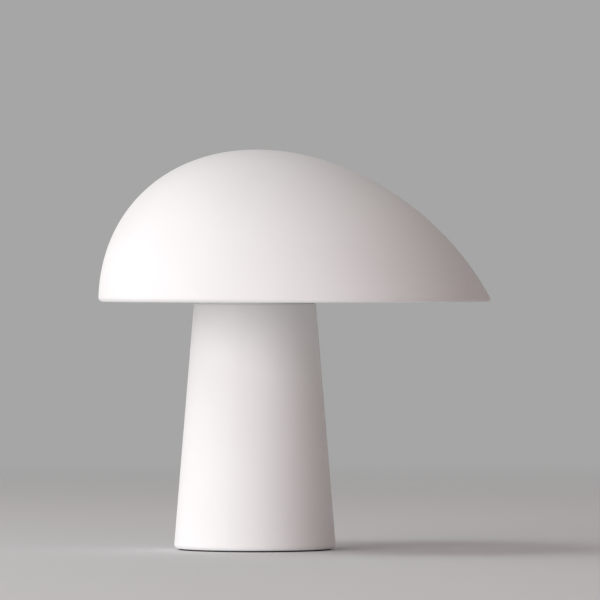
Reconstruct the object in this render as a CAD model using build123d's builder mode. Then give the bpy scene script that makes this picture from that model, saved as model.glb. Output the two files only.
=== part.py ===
from build123d import *
import math
import os

# Mushroom table lamp: a spun metal shade, leaning to one side, on a tapered metal stem.
# Millimetres. The origin is on the table under the stem's axis, +Z is up, +X points to the
# side where the shade reaches further and -Y is the front; the switch and cord inlet face +Y.

os.makedirs("parts", exist_ok=True)

# ---------------------------------------------------------------------------------------
# Driving sizes
# ---------------------------------------------------------------------------------------

# Shade: a slice of a sphere whose lower circles are pushed sideways
overall_height = 230.0
rim_height = 142.5
dome_radius = 117.0
dome_lean = 22.2  # the rim's centre beside the apex
apex_offset = 1.0  # the apex beside the stem's axis
shade_wall = 1.2
rim_bead = 4.0  # diameter of the rolled rim

# Stem: a straight cone, closed at the top, with its foot rolled inwards
foot_diameter = 93.3  # on the table
neck_diameter = 70.0  # at the rim's height
stem_wall = 1.5
foot_corner = 2.3
foot_lift = 0.8  # the shell's lower edge above the table
cap_height = 4.4  # from the seam to the stem's top
cap_corner = 3.0
cap_spigot = 5.0  # how far the cap reaches into the shell
seam_chamfer = 0.25

# Fits
running_gap = 0.05  # pieces that turn or slide on each other
seat_gap = 0.02  # a contoured face and the curved wall it sits on
thread_play = 0.05  # a thread in its hole, all round
hole_play = 0.2  # a bolt in a drilled hole, all round
edge_gap = 0.3  # loose edges beside each other

# Foot and weight
pad_thickness = 2.0
pad_margin = 3.65  # from the foot's edge in to the pad's
plate_thickness = 2.5
weight_height = 18.0
cord_notch_width = 18.0
cord_notch_depth = 23.0  # measured inwards from the stem's wall
plate_screw_count = 3
plate_screw_radius = 28.0
plate_screw_head = 8.0
plate_screw_length = 12.0
driver_hole = 10.0

# Threads and fasteners
m3_thread = 3.0
m3_flats = 5.5
m3_nut = 2.4
m3_head = 5.5
m3_head_height = 2.2
m4_thread = 4.0
m4_flats = 7.0
m4_nut = 3.2
rod_thread = 6.0
rod_flats = 10.0
rod_nut = 5.0
rod_jam_nut = 3.2
rod_washer = 12.0
rod_washer_thickness = 1.6
rod_end = 1.0  # thread standing out of a nut
nut_pocket = 16.0
nut_pocket_depth = 9.0

# Shade holder on top of the stem
holder_diameter = 63.0
holder_thickness = 2.0
post_diameter = 4.0
post_radius = 28.0
post_count = 3
post_spigot = 3.2
ring_depth = 22.0  # the support ring's top face below the apex
ring_thickness = 2.0
ring_outer = 36.0
ring_inner = 22.0
post_nut = 3.0

# Glide ring and shade plate
glide_thickness = 1.6
glide_inner = 33.0
glide_lip = 1.3
glide_skirt = 3.6
glide_hook = 0.9
key_width = 5.0
key_height = 1.3
key_depth = 3.4
key_inset = 0.4
shade_plate_thickness = 1.5
shade_plate_inner = 34.0
shade_plate_outer = 48.5
collar_wall = 1.5
collar_depth = 6.5
stud_radius = 44.0
stud_diameter = 6.0
stud_count = 3

# Lampholder
stirrup_thickness = 1.5
stirrup_width = 24.0
stirrup_span = 28.0  # between the outer faces of its legs
stirrup_foot = 8.0
stirrup_height = 15.5
socket_diameter = 25.0
socket_body = 13.0
socket_cap = 5.0
socket_chamfer = 1.0
socket_screw_place = 8.7
socket_screw_sink = 3.0
pin_pitch = 9.0
slot_width = 1.8
slot_length = 4.4
cavity_width = 2.6
cavity_length = 4.8
cavity_depth = 7.0
contact_wall = 0.4

# Bulb
bulb_clearance = 0.2
bulb_diameter = 16.0
bulb_glass_wall = 0.7
bulb_length = 35.0  # from the lampholder to the tip
bulb_headroom = 13.5  # from the tip up to the shade's apex
bulb_collar = 5.0
bulb_spigot = 3.5
pin_wire = 0.9
pin_length = 9.2
pin_loop = 2.6
core_flats = 8.0
core_headroom = 7.5  # from the core's top up to the tip

# Wiring
wire_diameter = 2.2
wire_hole_place = 13.0
wire_reach = 4.0  # how far a wire goes into its terminal
wire_straight = 8.0  # straight out of a terminal
wire_bend_room = 5.0
wire_lane = 14.0  # beside the tie rod
grommet_neck = 8.0
grommet_flange = 11.0
grommet_flange_height = 1.3
grommet_bore = 5.4
terminal_width = 28.0
terminal_depth = 12.0
terminal_height = 12.0
terminal_place = 18.0  # its centre in front of the stem's axis
terminal_pitch = 9.0
terminal_bore_height = 6.0
sleeve_outer = 4.4
sleeve_inner = 2.7
sleeve_length = 11.0
clamp_screw = 2.6
clamp_screw_pitch = 6.0
earth_screw_place = (26.0, -5.0)
lug_thickness = 0.8
lug_width = 8.0
lug_barrel = 3.2
lug_barrel_length = 5.0

# Cord gland at the back of the foot
inlet_height = 13.0
gland_bore = 6.4
gland_body = 9.0
gland_flange = 14.0
gland_reach = 4.4  # outside the wall
gland_round = 2.0
gland_inside = 9.5  # inside the wall
gland_nut_flats = 12.0
gland_nut = 3.5

# Push switch at the back of the stem
switch_height = 40.0
switch_body = 18.0
switch_bush = 12.0
switch_bush_reach = 4.2
bezel_diameter = 17.0
bezel_reach = 3.0
bezel_chamfer = 0.8
switch_shoulder = 4.0  # the bush's inner end, inside the wall
switch_cavity = 15.0
switch_cavity_depth = 12.0
switch_back = 2.0
button_diameter = 9.0
button_reach = 3.2
button_collar = 14.6
button_collar_thickness = 2.0
button_skirt = 4.6
button_skirt_bore = 10.4
button_guide = 4.0
button_guide_length = 5.0
button_travel = 2.5
contact_thickness = 0.6
terminal_pin = 1.8
terminal_pin_head = 2.2
terminal_pin_tail = 4.0
contact_opening_left = 0.1  # between the contacts when the button is down
spring_wire = 0.7
spring_diameter = 7.2
spring_turns = 5

# ---------------------------------------------------------------------------------------
# Places worked out from those sizes
# ---------------------------------------------------------------------------------------

# Heights, from the shade's apex down to the stem's top: bulb, lampholder, stirrup, disc
bulb_top = overall_height - bulb_headroom
socket_top = bulb_top - bulb_length
socket_joint = socket_top - socket_cap
bridge_top = socket_joint - socket_body
holder_top = bridge_top - stirrup_height
stem_height = holder_top - holder_thickness
seam_height = stem_height - cap_height
ring_height = overall_height - ring_depth

dome_centre = overall_height - dome_radius
lean_rate = dome_lean / (overall_height - rim_height)
taper = (foot_diameter - neck_diameter) / 2 / rim_height
stem_wall_across = stem_wall * math.sqrt(1 + taper**2)


def stem_outside(height):
    """Radius of the stem's outer face at a height."""
    return foot_diameter / 2 - taper * height


def stem_inside(height):
    """Radius of the stem's inner face at a height."""
    return stem_outside(height) - stem_wall_across


plate_bottom = pad_thickness
weight_bottom = plate_bottom + plate_thickness
weight_top = weight_bottom + weight_height
foot_opening = stem_outside(foot_lift) - foot_corner
ring_bottom = ring_height - ring_thickness
glide_bottom = ring_height + running_gap
glide_top = glide_bottom + glide_thickness
glide_outer = ring_outer + running_gap + glide_lip
shade_plate_bottom = glide_top + running_gap
shade_plate_top = shade_plate_bottom + shade_plate_thickness
bridge_bottom = bridge_top - stirrup_thickness
cavity_bottom = socket_joint - cavity_depth
contact_bottom = cavity_bottom + running_gap
bulb_bottom = socket_top + bulb_clearance
stirrup_screw_place = stirrup_span / 2 + stirrup_foot / 2
terminal_bore_z = weight_top + terminal_bore_height
first_post_angle = 30.0
first_stud_angle = 60.0
key_angle = 90.0

# Planes that look out of the back of the stem, square to the switch and to the cord inlet
switch_axis = Plane(origin=(0, 0, switch_height), x_dir=(-1, 0, 0), z_dir=(0, 1, 0))
inlet_axis = Plane(origin=(0, 0, inlet_height), x_dir=(-1, 0, 0), z_dir=(0, 1, 0))
switch_wall = stem_inside(switch_height)
switch_face = stem_outside(switch_height)
shoulder_y = switch_wall - switch_shoulder
cavity_back_y = shoulder_y - switch_cavity_depth
housing_back_y = cavity_back_y - switch_back
collar_front_y = shoulder_y - running_gap
collar_back_y = collar_front_y - button_collar_thickness
skirt_back_y = collar_back_y - button_skirt
contact_back_y = skirt_back_y - contact_thickness
pin_head_y = contact_back_y - button_travel - contact_opening_left
contact_radius = (button_skirt_bore + button_collar) / 4
inlet_wall = stem_inside(inlet_height)
inlet_face = stem_outside(inlet_height)


def bend_radii(points):
    """Radius of each bend of a wire: as large as the two runs beside it allow."""
    radii = []
    for before, corner, after in zip(points, points[1:], points[2:]):
        run_in = Vector(corner) - Vector(before)
        run_out = Vector(after) - Vector(corner)
        half_turn = math.radians(run_in.get_angle(run_out)) / 2
        radii.append(0.45 * min(run_in.length, run_out.length) / math.tan(half_turn))
    return radii


def nut_section(across_flats, thread):
    """A hexagon round its thread, drawn in the open sketch."""
    RegularPolygon(radius=across_flats / 2, side_count=6, major_radius=False)
    Circle(thread / 2 + thread_play, mode=Mode.SUBTRACT)


# ---------------------------------------------------------------------------------------
# Stem
# ---------------------------------------------------------------------------------------

# The stem's outer form as a full cone, for faces that sit on the outside of its wall
with BuildPart() as stem_block:
    with BuildSketch(Plane.XZ):
        Polygon(
            (0, 0),
            (stem_outside(0) + seat_gap, 0),
            (stem_outside(rim_height) + seat_gap, rim_height),
            (0, rim_height),
            align=None,
        )
    revolve(axis=Axis.Z)

# The room inside the stem, for faces that sit on the inside of its wall
with BuildPart() as stem_room:
    with BuildSketch(Plane.XZ):
        Polygon(
            (0, 0),
            (stem_inside(0) - seat_gap, 0),
            (stem_inside(rim_height) - seat_gap, rim_height),
            (0, rim_height),
            align=None,
        )
    revolve(axis=Axis.Z)

# The stem's whole wall in section, closed at the top
with BuildSketch(Plane.XZ) as stem_section:
    Polygon(
        (0, foot_lift),
        (stem_outside(foot_lift), foot_lift),
        (stem_outside(stem_height), stem_height),
        (0, stem_height),
        align=None,
    )
    fillet(stem_section.vertices().group_by(Axis.X)[-1], foot_corner)
    top_edge = stem_section.vertices().group_by(Axis.Y)[-1].sort_by(Axis.X)[-1]
    fillet(top_edge, cap_corner)
    offset(amount=-stem_wall, mode=Mode.SUBTRACT)
    with Locations((0, foot_lift)):
        Rectangle(2 * foot_opening, 2 * stem_wall, mode=Mode.SUBTRACT)
        Rectangle(
            4 * stem_wall,
            stem_height - stem_wall - foot_lift,
            align=(Align.CENTER, Align.MIN),
            mode=Mode.SUBTRACT,
        )

with BuildPart() as stem_shell:
    revolve(stem_section.sketch, axis=Axis.Z)
    split(bisect_by=Plane.XY.offset(seam_height), keep=Keep.BOTTOM)
    seam_edges = stem_shell.edges().filter_by(GeomType.CIRCLE).group_by(Axis.Z)[-1]
    chamfer(seam_edges.sort_by(SortBy.LENGTH)[-1], seam_chamfer)
    with BuildSketch(switch_axis):
        Circle(switch_bush / 2 + hole_play)
    extrude(amount=foot_diameter, mode=Mode.SUBTRACT)
    with BuildSketch(inlet_axis):
        Circle(gland_body / 2 + hole_play)
    extrude(amount=foot_diameter, mode=Mode.SUBTRACT)
stem_shell.part.label = "stem_shell"
export_step(stem_shell.part, "parts/stem_shell.step")

spigot_outside = stem_inside(seam_height) - running_gap

with BuildPart() as stem_cap:
    revolve(stem_section.sketch, axis=Axis.Z)
    split(bisect_by=Plane.XY.offset(seam_height), keep=Keep.TOP)
    seam_edges = stem_cap.edges().filter_by(GeomType.CIRCLE).group_by(Axis.Z)[0]
    chamfer(seam_edges.sort_by(SortBy.LENGTH)[-1], seam_chamfer)
    with BuildSketch(Plane.XY.offset(seam_height - cap_spigot)):
        Circle(spigot_outside)
        Circle(spigot_outside - stem_wall, mode=Mode.SUBTRACT)
    extrude(amount=cap_spigot + cap_height - cap_corner)
    with BuildSketch(Plane.XY.offset(stem_height)):
        Circle(rod_thread / 2 + hole_play)
        with Locations((0, wire_hole_place)):
            Circle(grommet_neck / 2 + running_gap)
        with Locations((stirrup_screw_place, 0), (-stirrup_screw_place, 0)):
            Circle(m3_thread / 2 + thread_play)
    extrude(amount=-2 * stem_wall, mode=Mode.SUBTRACT)
stem_cap.part.label = "stem_cap"
export_step(stem_cap.part, "parts/stem_cap.step")

# ---------------------------------------------------------------------------------------
# Foot: weight, plate, pad and their screws
# ---------------------------------------------------------------------------------------

with BuildPart() as base_weight:
    with BuildSketch(Plane.XZ):
        Polygon(
            (0, weight_bottom),
            (foot_opening - edge_gap, weight_bottom),
            (stem_inside(weight_top) - seat_gap, weight_top),
            (0, weight_top),
            align=None,
        )
    revolve(axis=Axis.Z)
    with BuildSketch(Plane.XY.offset(weight_bottom)):
        Circle(nut_pocket / 2)
    extrude(amount=nut_pocket_depth, mode=Mode.SUBTRACT)
    with BuildSketch(Plane.XY.offset(weight_bottom)):
        Circle(rod_thread / 2 + hole_play)
        with Locations((0, foot_diameter / 2 - cord_notch_depth)):
            Rectangle(cord_notch_width, foot_diameter, align=(Align.CENTER, Align.MIN))
    extrude(amount=weight_height, mode=Mode.SUBTRACT)
    with BuildSketch(Plane.XY.offset(weight_bottom)):
        with PolarLocations(plate_screw_radius, plate_screw_count, start_angle=first_post_angle):
            Circle(m4_thread / 2 + thread_play)
    extrude(amount=plate_screw_length, mode=Mode.SUBTRACT)
    with BuildSketch(Plane.XY.offset(weight_top)):
        with Locations(earth_screw_place):
            Circle(m4_thread / 2 + thread_play)
        with Locations(
            (terminal_pitch / 2, -terminal_place), (-terminal_pitch / 2, -terminal_place)
        ):
            Circle(m3_thread / 2 + thread_play)
    extrude(amount=-plate_screw_length / 2, mode=Mode.SUBTRACT)
base_weight.part.label = "base_weight"
export_step(base_weight.part, "parts/base_weight.step")

plate_screw_sink = (plate_screw_head - m4_thread) / 2

with BuildPart() as base_plate:
    with BuildSketch(Plane.XY.offset(plate_bottom)):
        Circle(foot_opening - edge_gap)
    extrude(amount=plate_thickness)
    with PolarLocations(plate_screw_radius, plate_screw_count, start_angle=first_post_angle):
        with Locations((0, 0, plate_bottom)):
            Cylinder(
                m4_thread / 2 + hole_play,
                plate_thickness,
                align=(Align.CENTER, Align.CENTER, Align.MIN),
                mode=Mode.SUBTRACT,
            )
            Cone(
                plate_screw_head / 2 + hole_play,
                m4_thread / 2 + hole_play,
                plate_screw_sink,
                align=(Align.CENTER, Align.CENTER, Align.MIN),
                mode=Mode.SUBTRACT,
            )
base_plate.part.label = "base_plate"
export_step(base_plate.part, "parts/base_plate.step")

with BuildPart() as base_plate_screws:
    with PolarLocations(plate_screw_radius, plate_screw_count, start_angle=first_post_angle):
        with Locations((0, 0, plate_bottom)):
            Cone(
                plate_screw_head / 2,
                m4_thread / 2,
                plate_screw_sink,
                align=(Align.CENTER, Align.CENTER, Align.MIN),
            )
            Cylinder(
                m4_thread / 2,
                plate_screw_length,
                align=(Align.CENTER, Align.CENTER, Align.MIN),
            )
            Cylinder(
                m4_thread / 4,
                plate_screw_sink / 2,
                align=(Align.CENTER, Align.CENTER, Align.MIN),
                mode=Mode.SUBTRACT,
            )
base_plate_screws.part.label = "base_plate_screws"
export_step(base_plate_screws.part, "parts/base_plate_screws.step")

with BuildPart() as foot_pad:
    with BuildSketch(Plane.XY):
        Circle(foot_diameter / 2 - pad_margin)
        with PolarLocations(plate_screw_radius, plate_screw_count, start_angle=first_post_angle):
            Circle(driver_hole / 2, mode=Mode.SUBTRACT)
    extrude(amount=pad_thickness)
foot_pad.part.label = "foot_pad"
export_step(foot_pad.part, "parts/foot_pad.step")

# ---------------------------------------------------------------------------------------
# Tie rod: clamps the weight, the stem and the shade holder together
# ---------------------------------------------------------------------------------------

pocket_top = weight_bottom + nut_pocket_depth
lower_nut_bottom = pocket_top - rod_washer_thickness - rod_nut
upper_nut_bottom = holder_top + rod_washer_thickness
rod_bottom = lower_nut_bottom - rod_end
rod_top = upper_nut_bottom + rod_jam_nut + rod_end

with BuildPart() as tie_rod:
    with BuildSketch(Plane.XY.offset(rod_bottom)):
        Circle(rod_thread / 2)
    extrude(amount=rod_top - rod_bottom)
    chamfer(tie_rod.edges().filter_by(GeomType.CIRCLE), rod_end / 2)
tie_rod.part.label = "tie_rod"
export_step(tie_rod.part, "parts/tie_rod.step")

with BuildPart() as tie_rod_nuts:
    with BuildSketch(Plane.XY.offset(lower_nut_bottom)):
        nut_section(rod_flats, rod_thread)
    extrude(amount=rod_nut)
    with BuildSketch(Plane.XY.offset(upper_nut_bottom)):
        nut_section(rod_flats, rod_thread)
    extrude(amount=rod_jam_nut)
tie_rod_nuts.part.label = "tie_rod_nuts"
export_step(tie_rod_nuts.part, "parts/tie_rod_nuts.step")

with BuildPart() as tie_rod_washers:
    with BuildSketch(
        Plane.XY.offset(pocket_top - rod_washer_thickness), Plane.XY.offset(holder_top)
    ):
        Circle(rod_washer / 2)
        Circle(rod_thread / 2 + hole_play, mode=Mode.SUBTRACT)
    extrude(amount=rod_washer_thickness)
tie_rod_washers.part.label = "tie_rod_washers"
export_step(tie_rod_washers.part, "parts/tie_rod_washers.step")

# ---------------------------------------------------------------------------------------
# Shade holder: a disc, three posts and a ring
# ---------------------------------------------------------------------------------------

with BuildPart() as holder_base:
    with BuildSketch(Plane.XY.offset(stem_height)):
        Circle(holder_diameter / 2)
        Circle(rod_thread / 2 + hole_play, mode=Mode.SUBTRACT)
        with Locations((0, wire_hole_place)):
            Circle(grommet_neck / 2 + running_gap, mode=Mode.SUBTRACT)
        with Locations((stirrup_screw_place, 0), (-stirrup_screw_place, 0)):
            Circle(m3_thread / 2 + thread_play, mode=Mode.SUBTRACT)
        with PolarLocations(post_radius, post_count, start_angle=first_post_angle):
            Circle(post_spigot / 2 + thread_play, mode=Mode.SUBTRACT)
    extrude(amount=holder_thickness)
holder_base.part.label = "holder_base"
export_step(holder_base.part, "parts/holder_base.step")

with BuildPart() as holder_posts:
    with BuildSketch(Plane.XY.offset(holder_top)):
        with PolarLocations(post_radius, post_count, start_angle=first_post_angle):
            Circle(post_diameter / 2)
    extrude(amount=ring_bottom - holder_top)
    with BuildSketch(Plane.XY.offset(stem_height)):
        with PolarLocations(post_radius, post_count, start_angle=first_post_angle):
            Circle(post_spigot / 2)
    extrude(amount=ring_height + post_nut - stem_height)
holder_posts.part.label = "holder_posts"
export_step(holder_posts.part, "parts/holder_posts.step")

with BuildPart() as holder_ring:
    with BuildSketch(Plane.XY.offset(ring_bottom)):
        Circle(ring_outer)
        Circle(ring_inner, mode=Mode.SUBTRACT)
        with PolarLocations(post_radius, post_count, start_angle=first_post_angle):
            Circle(post_spigot / 2 + thread_play, mode=Mode.SUBTRACT)
    extrude(amount=ring_thickness)
holder_ring.part.label = "holder_ring"
export_step(holder_ring.part, "parts/holder_ring.step")

with BuildPart() as holder_nuts:
    with BuildSketch(Plane.XY.offset(ring_height)):
        with PolarLocations(post_radius, post_count, start_angle=first_post_angle):
            nut_section(m4_flats, post_spigot)
    extrude(amount=post_nut)
holder_nuts.part.label = "holder_nuts"
export_step(holder_nuts.part, "parts/holder_nuts.step")

# ---------------------------------------------------------------------------------------
# Glide ring: clips over the support ring and turns on it with the shade
# ---------------------------------------------------------------------------------------

hook_top = ring_bottom - running_gap
skirt_bottom = glide_bottom - ring_thickness - glide_skirt
key_radius = glide_inner + key_inset + key_depth / 2

with BuildPart() as glide_ring:
    with BuildSketch(Plane.XZ):
        Polygon(
            (glide_inner, glide_bottom),
            (glide_outer - glide_lip, glide_bottom),
            (glide_outer - glide_lip, hook_top),
            (glide_outer - glide_lip - glide_hook, hook_top),
            (glide_outer - glide_lip, skirt_bottom),
            (glide_outer, skirt_bottom),
            (glide_outer, glide_top),
            (glide_inner, glide_top),
            align=None,
        )
    revolve(axis=Axis.Z)
    with BuildSketch(Plane.XY.offset(glide_top)):
        with PolarLocations(key_radius, stud_count, start_angle=key_angle):
            Rectangle(key_depth, key_width)
    extrude(amount=key_height)
glide_ring.part.label = "glide_ring"
export_step(glide_ring.part, "parts/glide_ring.step")

# ---------------------------------------------------------------------------------------
# Shade: dome, plate, studs and nuts
# ---------------------------------------------------------------------------------------

# Leaning moves every point of an upright dome sideways by its depth below the apex
lean = Matrix(
    [
        [1, 0, -lean_rate, lean_rate * overall_height + apex_offset],
        [0, 1, 0, 0],
        [0, 0, 1, 0],
        [0, 0, 0, 1],
    ]
)
bead_radius = rim_bead / 2
bead_height = rim_height + bead_radius - dome_centre
bead_reach = math.sqrt((dome_radius - bead_radius) ** 2 - bead_height**2)
rim_angle = math.degrees(math.atan2(bead_height, bead_reach))
rim_direction = Vector(math.cos(math.radians(rim_angle)), math.sin(math.radians(rim_angle)))
dome_point = Vector(0, dome_centre)

with BuildPart() as upright_dome:
    with BuildSketch(Plane.XZ):
        with BuildLine():
            CenterArc(dome_point, dome_radius, rim_angle, 90 - rim_angle)
            CenterArc(dome_point, dome_radius - shade_wall, rim_angle, 90 - rim_angle)
            Line((0, overall_height), (0, overall_height - shade_wall))
            Line(
                dome_point + rim_direction * dome_radius,
                dome_point + rim_direction * (dome_radius - shade_wall),
            )
        make_face()
        with Locations((bead_reach, bead_height + dome_centre)):
            Circle(bead_radius)
    revolve(axis=Axis.Z)

# The room under the dome, for studs that end on its inner face
with BuildPart() as upright_room:
    with BuildSketch(Plane.XZ):
        with BuildLine():
            CenterArc(dome_point, dome_radius - shade_wall - seat_gap, 0, 90)
            Line(dome_point, (0, overall_height - shade_wall - seat_gap))
            Line(dome_point, dome_point + Vector(dome_radius - shade_wall - seat_gap, 0))
        make_face()
    revolve(axis=Axis.Z)

leaning_dome = upright_dome.part.transform_geometry(lean)
leaning_room = upright_room.part.transform_geometry(lean)

with BuildPart() as shade_shell:
    add(leaning_dome)
shade_shell.part.label = "shade_shell"
export_step(shade_shell.part, "parts/shade_shell.step")

with BuildPart() as shade_plate:
    with BuildSketch(Plane.XY.offset(shade_plate_bottom)):
        Circle(shade_plate_outer)
        Circle(shade_plate_inner, mode=Mode.SUBTRACT)
        with PolarLocations(stud_radius, stud_count, start_angle=first_stud_angle):
            Circle(m4_thread / 2 + hole_play, mode=Mode.SUBTRACT)
        with PolarLocations(key_radius, stud_count, start_angle=key_angle):
            Rectangle(key_depth + 2 * edge_gap, key_width + 2 * edge_gap, mode=Mode.SUBTRACT)
    extrude(amount=shade_plate_thickness)
    with BuildSketch(Plane.XY.offset(shade_plate_bottom)):
        Circle(glide_outer + edge_gap + collar_wall)
        Circle(glide_outer + edge_gap, mode=Mode.SUBTRACT)
    extrude(amount=-collar_depth)
shade_plate.part.label = "shade_plate"
export_step(shade_plate.part, "parts/shade_plate.step")

stud_bottom = shade_plate_bottom - m4_nut - rod_end

with BuildPart() as shade_studs:
    with BuildSketch(Plane.XY.offset(shade_plate_top)):
        with PolarLocations(stud_radius, stud_count, start_angle=first_stud_angle):
            Circle(stud_diameter / 2)
    extrude(amount=overall_height - shade_plate_top)
    add(leaning_room, mode=Mode.INTERSECT)
    with BuildSketch(Plane.XY.offset(stud_bottom)):
        with PolarLocations(stud_radius, stud_count, start_angle=first_stud_angle):
            Circle(m4_thread / 2)
    extrude(amount=shade_plate_top - stud_bottom)
shade_studs.part.label = "shade_studs"
export_step(shade_studs.part, "parts/shade_studs.step")

with BuildPart() as shade_stud_nuts:
    with BuildSketch(Plane.XY.offset(shade_plate_bottom)):
        with PolarLocations(stud_radius, stud_count, start_angle=first_stud_angle):
            nut_section(m4_flats, m4_thread)
    extrude(amount=-m4_nut)
shade_stud_nuts.part.label = "shade_stud_nuts"
export_step(shade_stud_nuts.part, "parts/shade_stud_nuts.step")

# ---------------------------------------------------------------------------------------
# Lampholder on its stirrup
# ---------------------------------------------------------------------------------------

leg_outside = stirrup_span / 2
leg_inside = leg_outside - stirrup_thickness
foot_end = leg_outside + stirrup_foot

with BuildPart() as socket_stirrup:
    with BuildSketch(Plane.XZ):
        Polygon(
            (-foot_end, holder_top),
            (-leg_inside, holder_top),
            (-leg_inside, bridge_bottom),
            (leg_inside, bridge_bottom),
            (leg_inside, holder_top),
            (foot_end, holder_top),
            (foot_end, holder_top + stirrup_thickness),
            (leg_outside, holder_top + stirrup_thickness),
            (leg_outside, bridge_top),
            (-leg_outside, bridge_top),
            (-leg_outside, holder_top + stirrup_thickness),
            (-foot_end, holder_top + stirrup_thickness),
            align=None,
        )
    extrude(amount=stirrup_width / 2, both=True)
    with BuildSketch(Plane.XY.offset(bridge_top)):
        with Locations((0, socket_screw_place), (0, -socket_screw_place)):
            Circle(m3_thread / 2 + hole_play)
        with Locations((pin_pitch / 2, 0), (-pin_pitch / 2, 0)):
            Circle(wire_diameter / 2 + hole_play)
        with Locations((stirrup_screw_place, 0), (-stirrup_screw_place, 0)):
            Circle(m3_thread / 2 + hole_play)
    extrude(amount=holder_top - bridge_top, mode=Mode.SUBTRACT)
socket_stirrup.part.label = "socket_stirrup"
export_step(socket_stirrup.part, "parts/socket_stirrup.step")

with BuildPart() as stirrup_screws:
    with BuildSketch(Plane.XY.offset(holder_top + stirrup_thickness)):
        with Locations((stirrup_screw_place, 0), (-stirrup_screw_place, 0)):
            Circle(m3_head / 2)
    extrude(amount=m3_head_height)
    fillet(stirrup_screws.edges().group_by(Axis.Z)[-1], m3_head_height / 3)
    with BuildSketch(Plane.XY.offset(holder_top + stirrup_thickness)):
        with Locations((stirrup_screw_place, 0), (-stirrup_screw_place, 0)):
            Circle(m3_thread / 2)
    extrude(amount=-stirrup_thickness - holder_thickness - 2 * stem_wall)
stirrup_screws.part.label = "stirrup_screws"
export_step(stirrup_screws.part, "parts/stirrup_screws.step")

with BuildPart() as lampholder:
    with BuildSketch(Plane.XY.offset(bridge_top)):
        Circle(socket_diameter / 2)
        with Locations((pin_pitch / 2, 0), (-pin_pitch / 2, 0)):
            Circle(wire_diameter / 2 + hole_play, mode=Mode.SUBTRACT)
        with Locations((0, socket_screw_place), (0, -socket_screw_place)):
            Circle(m3_thread / 2 + hole_play, mode=Mode.SUBTRACT)
    extrude(amount=socket_body)
    with BuildSketch(Plane.XY.offset(socket_joint)):
        with Locations((pin_pitch / 2, 0), (-pin_pitch / 2, 0)):
            Rectangle(cavity_width, cavity_length)
    extrude(amount=-cavity_depth, mode=Mode.SUBTRACT)
lampholder.part.label = "lampholder"
export_step(lampholder.part, "parts/lampholder.step")

with BuildPart() as lampholder_cap:
    with BuildSketch(Plane.XY.offset(socket_joint)):
        Circle(socket_diameter / 2)
    extrude(amount=socket_cap)
    chamfer(lampholder_cap.edges().group_by(Axis.Z)[-1], socket_chamfer)
    with BuildSketch(Plane.XY.offset(socket_joint)):
        with Locations((pin_pitch / 2, 0), (-pin_pitch / 2, 0)):
            Rectangle(slot_width, slot_length)
        with Locations((0, socket_screw_place), (0, -socket_screw_place)):
            Circle(m3_thread / 2 + hole_play)
    extrude(amount=socket_cap, mode=Mode.SUBTRACT)
    with BuildSketch(Plane.XY.offset(socket_top)):
        with Locations((0, socket_screw_place), (0, -socket_screw_place)):
            Circle(m3_head / 2 + hole_play)
    extrude(amount=-socket_screw_sink, mode=Mode.SUBTRACT)
lampholder_cap.part.label = "lampholder_cap"
export_step(lampholder_cap.part, "parts/lampholder_cap.step")

socket_head_bottom = socket_top - socket_screw_sink
socket_nut_bottom = bridge_bottom - m3_nut

with BuildPart() as lampholder_screws:
    with BuildSketch(Plane.XY.offset(socket_head_bottom)):
        with Locations((0, socket_screw_place), (0, -socket_screw_place)):
            Circle(m3_head / 2)
    extrude(amount=m3_head_height)
    with BuildSketch(Plane.XY.offset(socket_head_bottom)):
        with Locations((0, socket_screw_place), (0, -socket_screw_place)):
            Circle(m3_thread / 2)
    extrude(amount=socket_nut_bottom - rod_end - socket_head_bottom)
lampholder_screws.part.label = "lampholder_screws"
export_step(lampholder_screws.part, "parts/lampholder_screws.step")

with BuildPart() as lampholder_nuts:
    with BuildSketch(Plane.XY.offset(bridge_bottom)):
        with Locations((0, socket_screw_place), (0, -socket_screw_place)):
            nut_section(m3_flats, m3_thread)
    extrude(amount=-m3_nut)
lampholder_nuts.part.label = "lampholder_nuts"
export_step(lampholder_nuts.part, "parts/lampholder_nuts.step")

with BuildPart() as lampholder_contacts:
    with BuildSketch(Plane.XY.offset(contact_bottom)):
        with Locations((pin_pitch / 2, 0), (-pin_pitch / 2, 0)):
            Rectangle(cavity_width - 2 * running_gap, cavity_length - 2 * running_gap)
    extrude(amount=cavity_depth - 2 * running_gap)
    with BuildSketch(Plane.XY.offset(contact_bottom + contact_wall)):
        with Locations((pin_pitch / 2, 0), (-pin_pitch / 2, 0)):
            Rectangle(cavity_width - 2 * running_gap - 2 * contact_wall, cavity_length)
    extrude(amount=cavity_depth, mode=Mode.SUBTRACT)
lampholder_contacts.part.label = "lampholder_contacts"
export_step(lampholder_contacts.part, "parts/lampholder_contacts.step")

# ---------------------------------------------------------------------------------------
# Bulb: pulls straight up out of the lampholder
# ---------------------------------------------------------------------------------------

collar_top = bulb_bottom + bulb_collar
spigot_top = collar_top + bulb_spigot
spigot_radius = bulb_diameter / 2 - bulb_glass_wall - edge_gap
round_centre = bulb_top - bulb_diameter / 2

with BuildPart() as bulb_base:
    with BuildSketch(Plane.XY.offset(bulb_bottom)):
        Circle(bulb_diameter / 2)
    extrude(amount=bulb_collar)
    with BuildSketch(Plane.XY.offset(collar_top)):
        Circle(spigot_radius)
    extrude(amount=bulb_spigot)
bulb_base.part.label = "bulb_base"
export_step(bulb_base.part, "parts/bulb_base.step")

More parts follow.
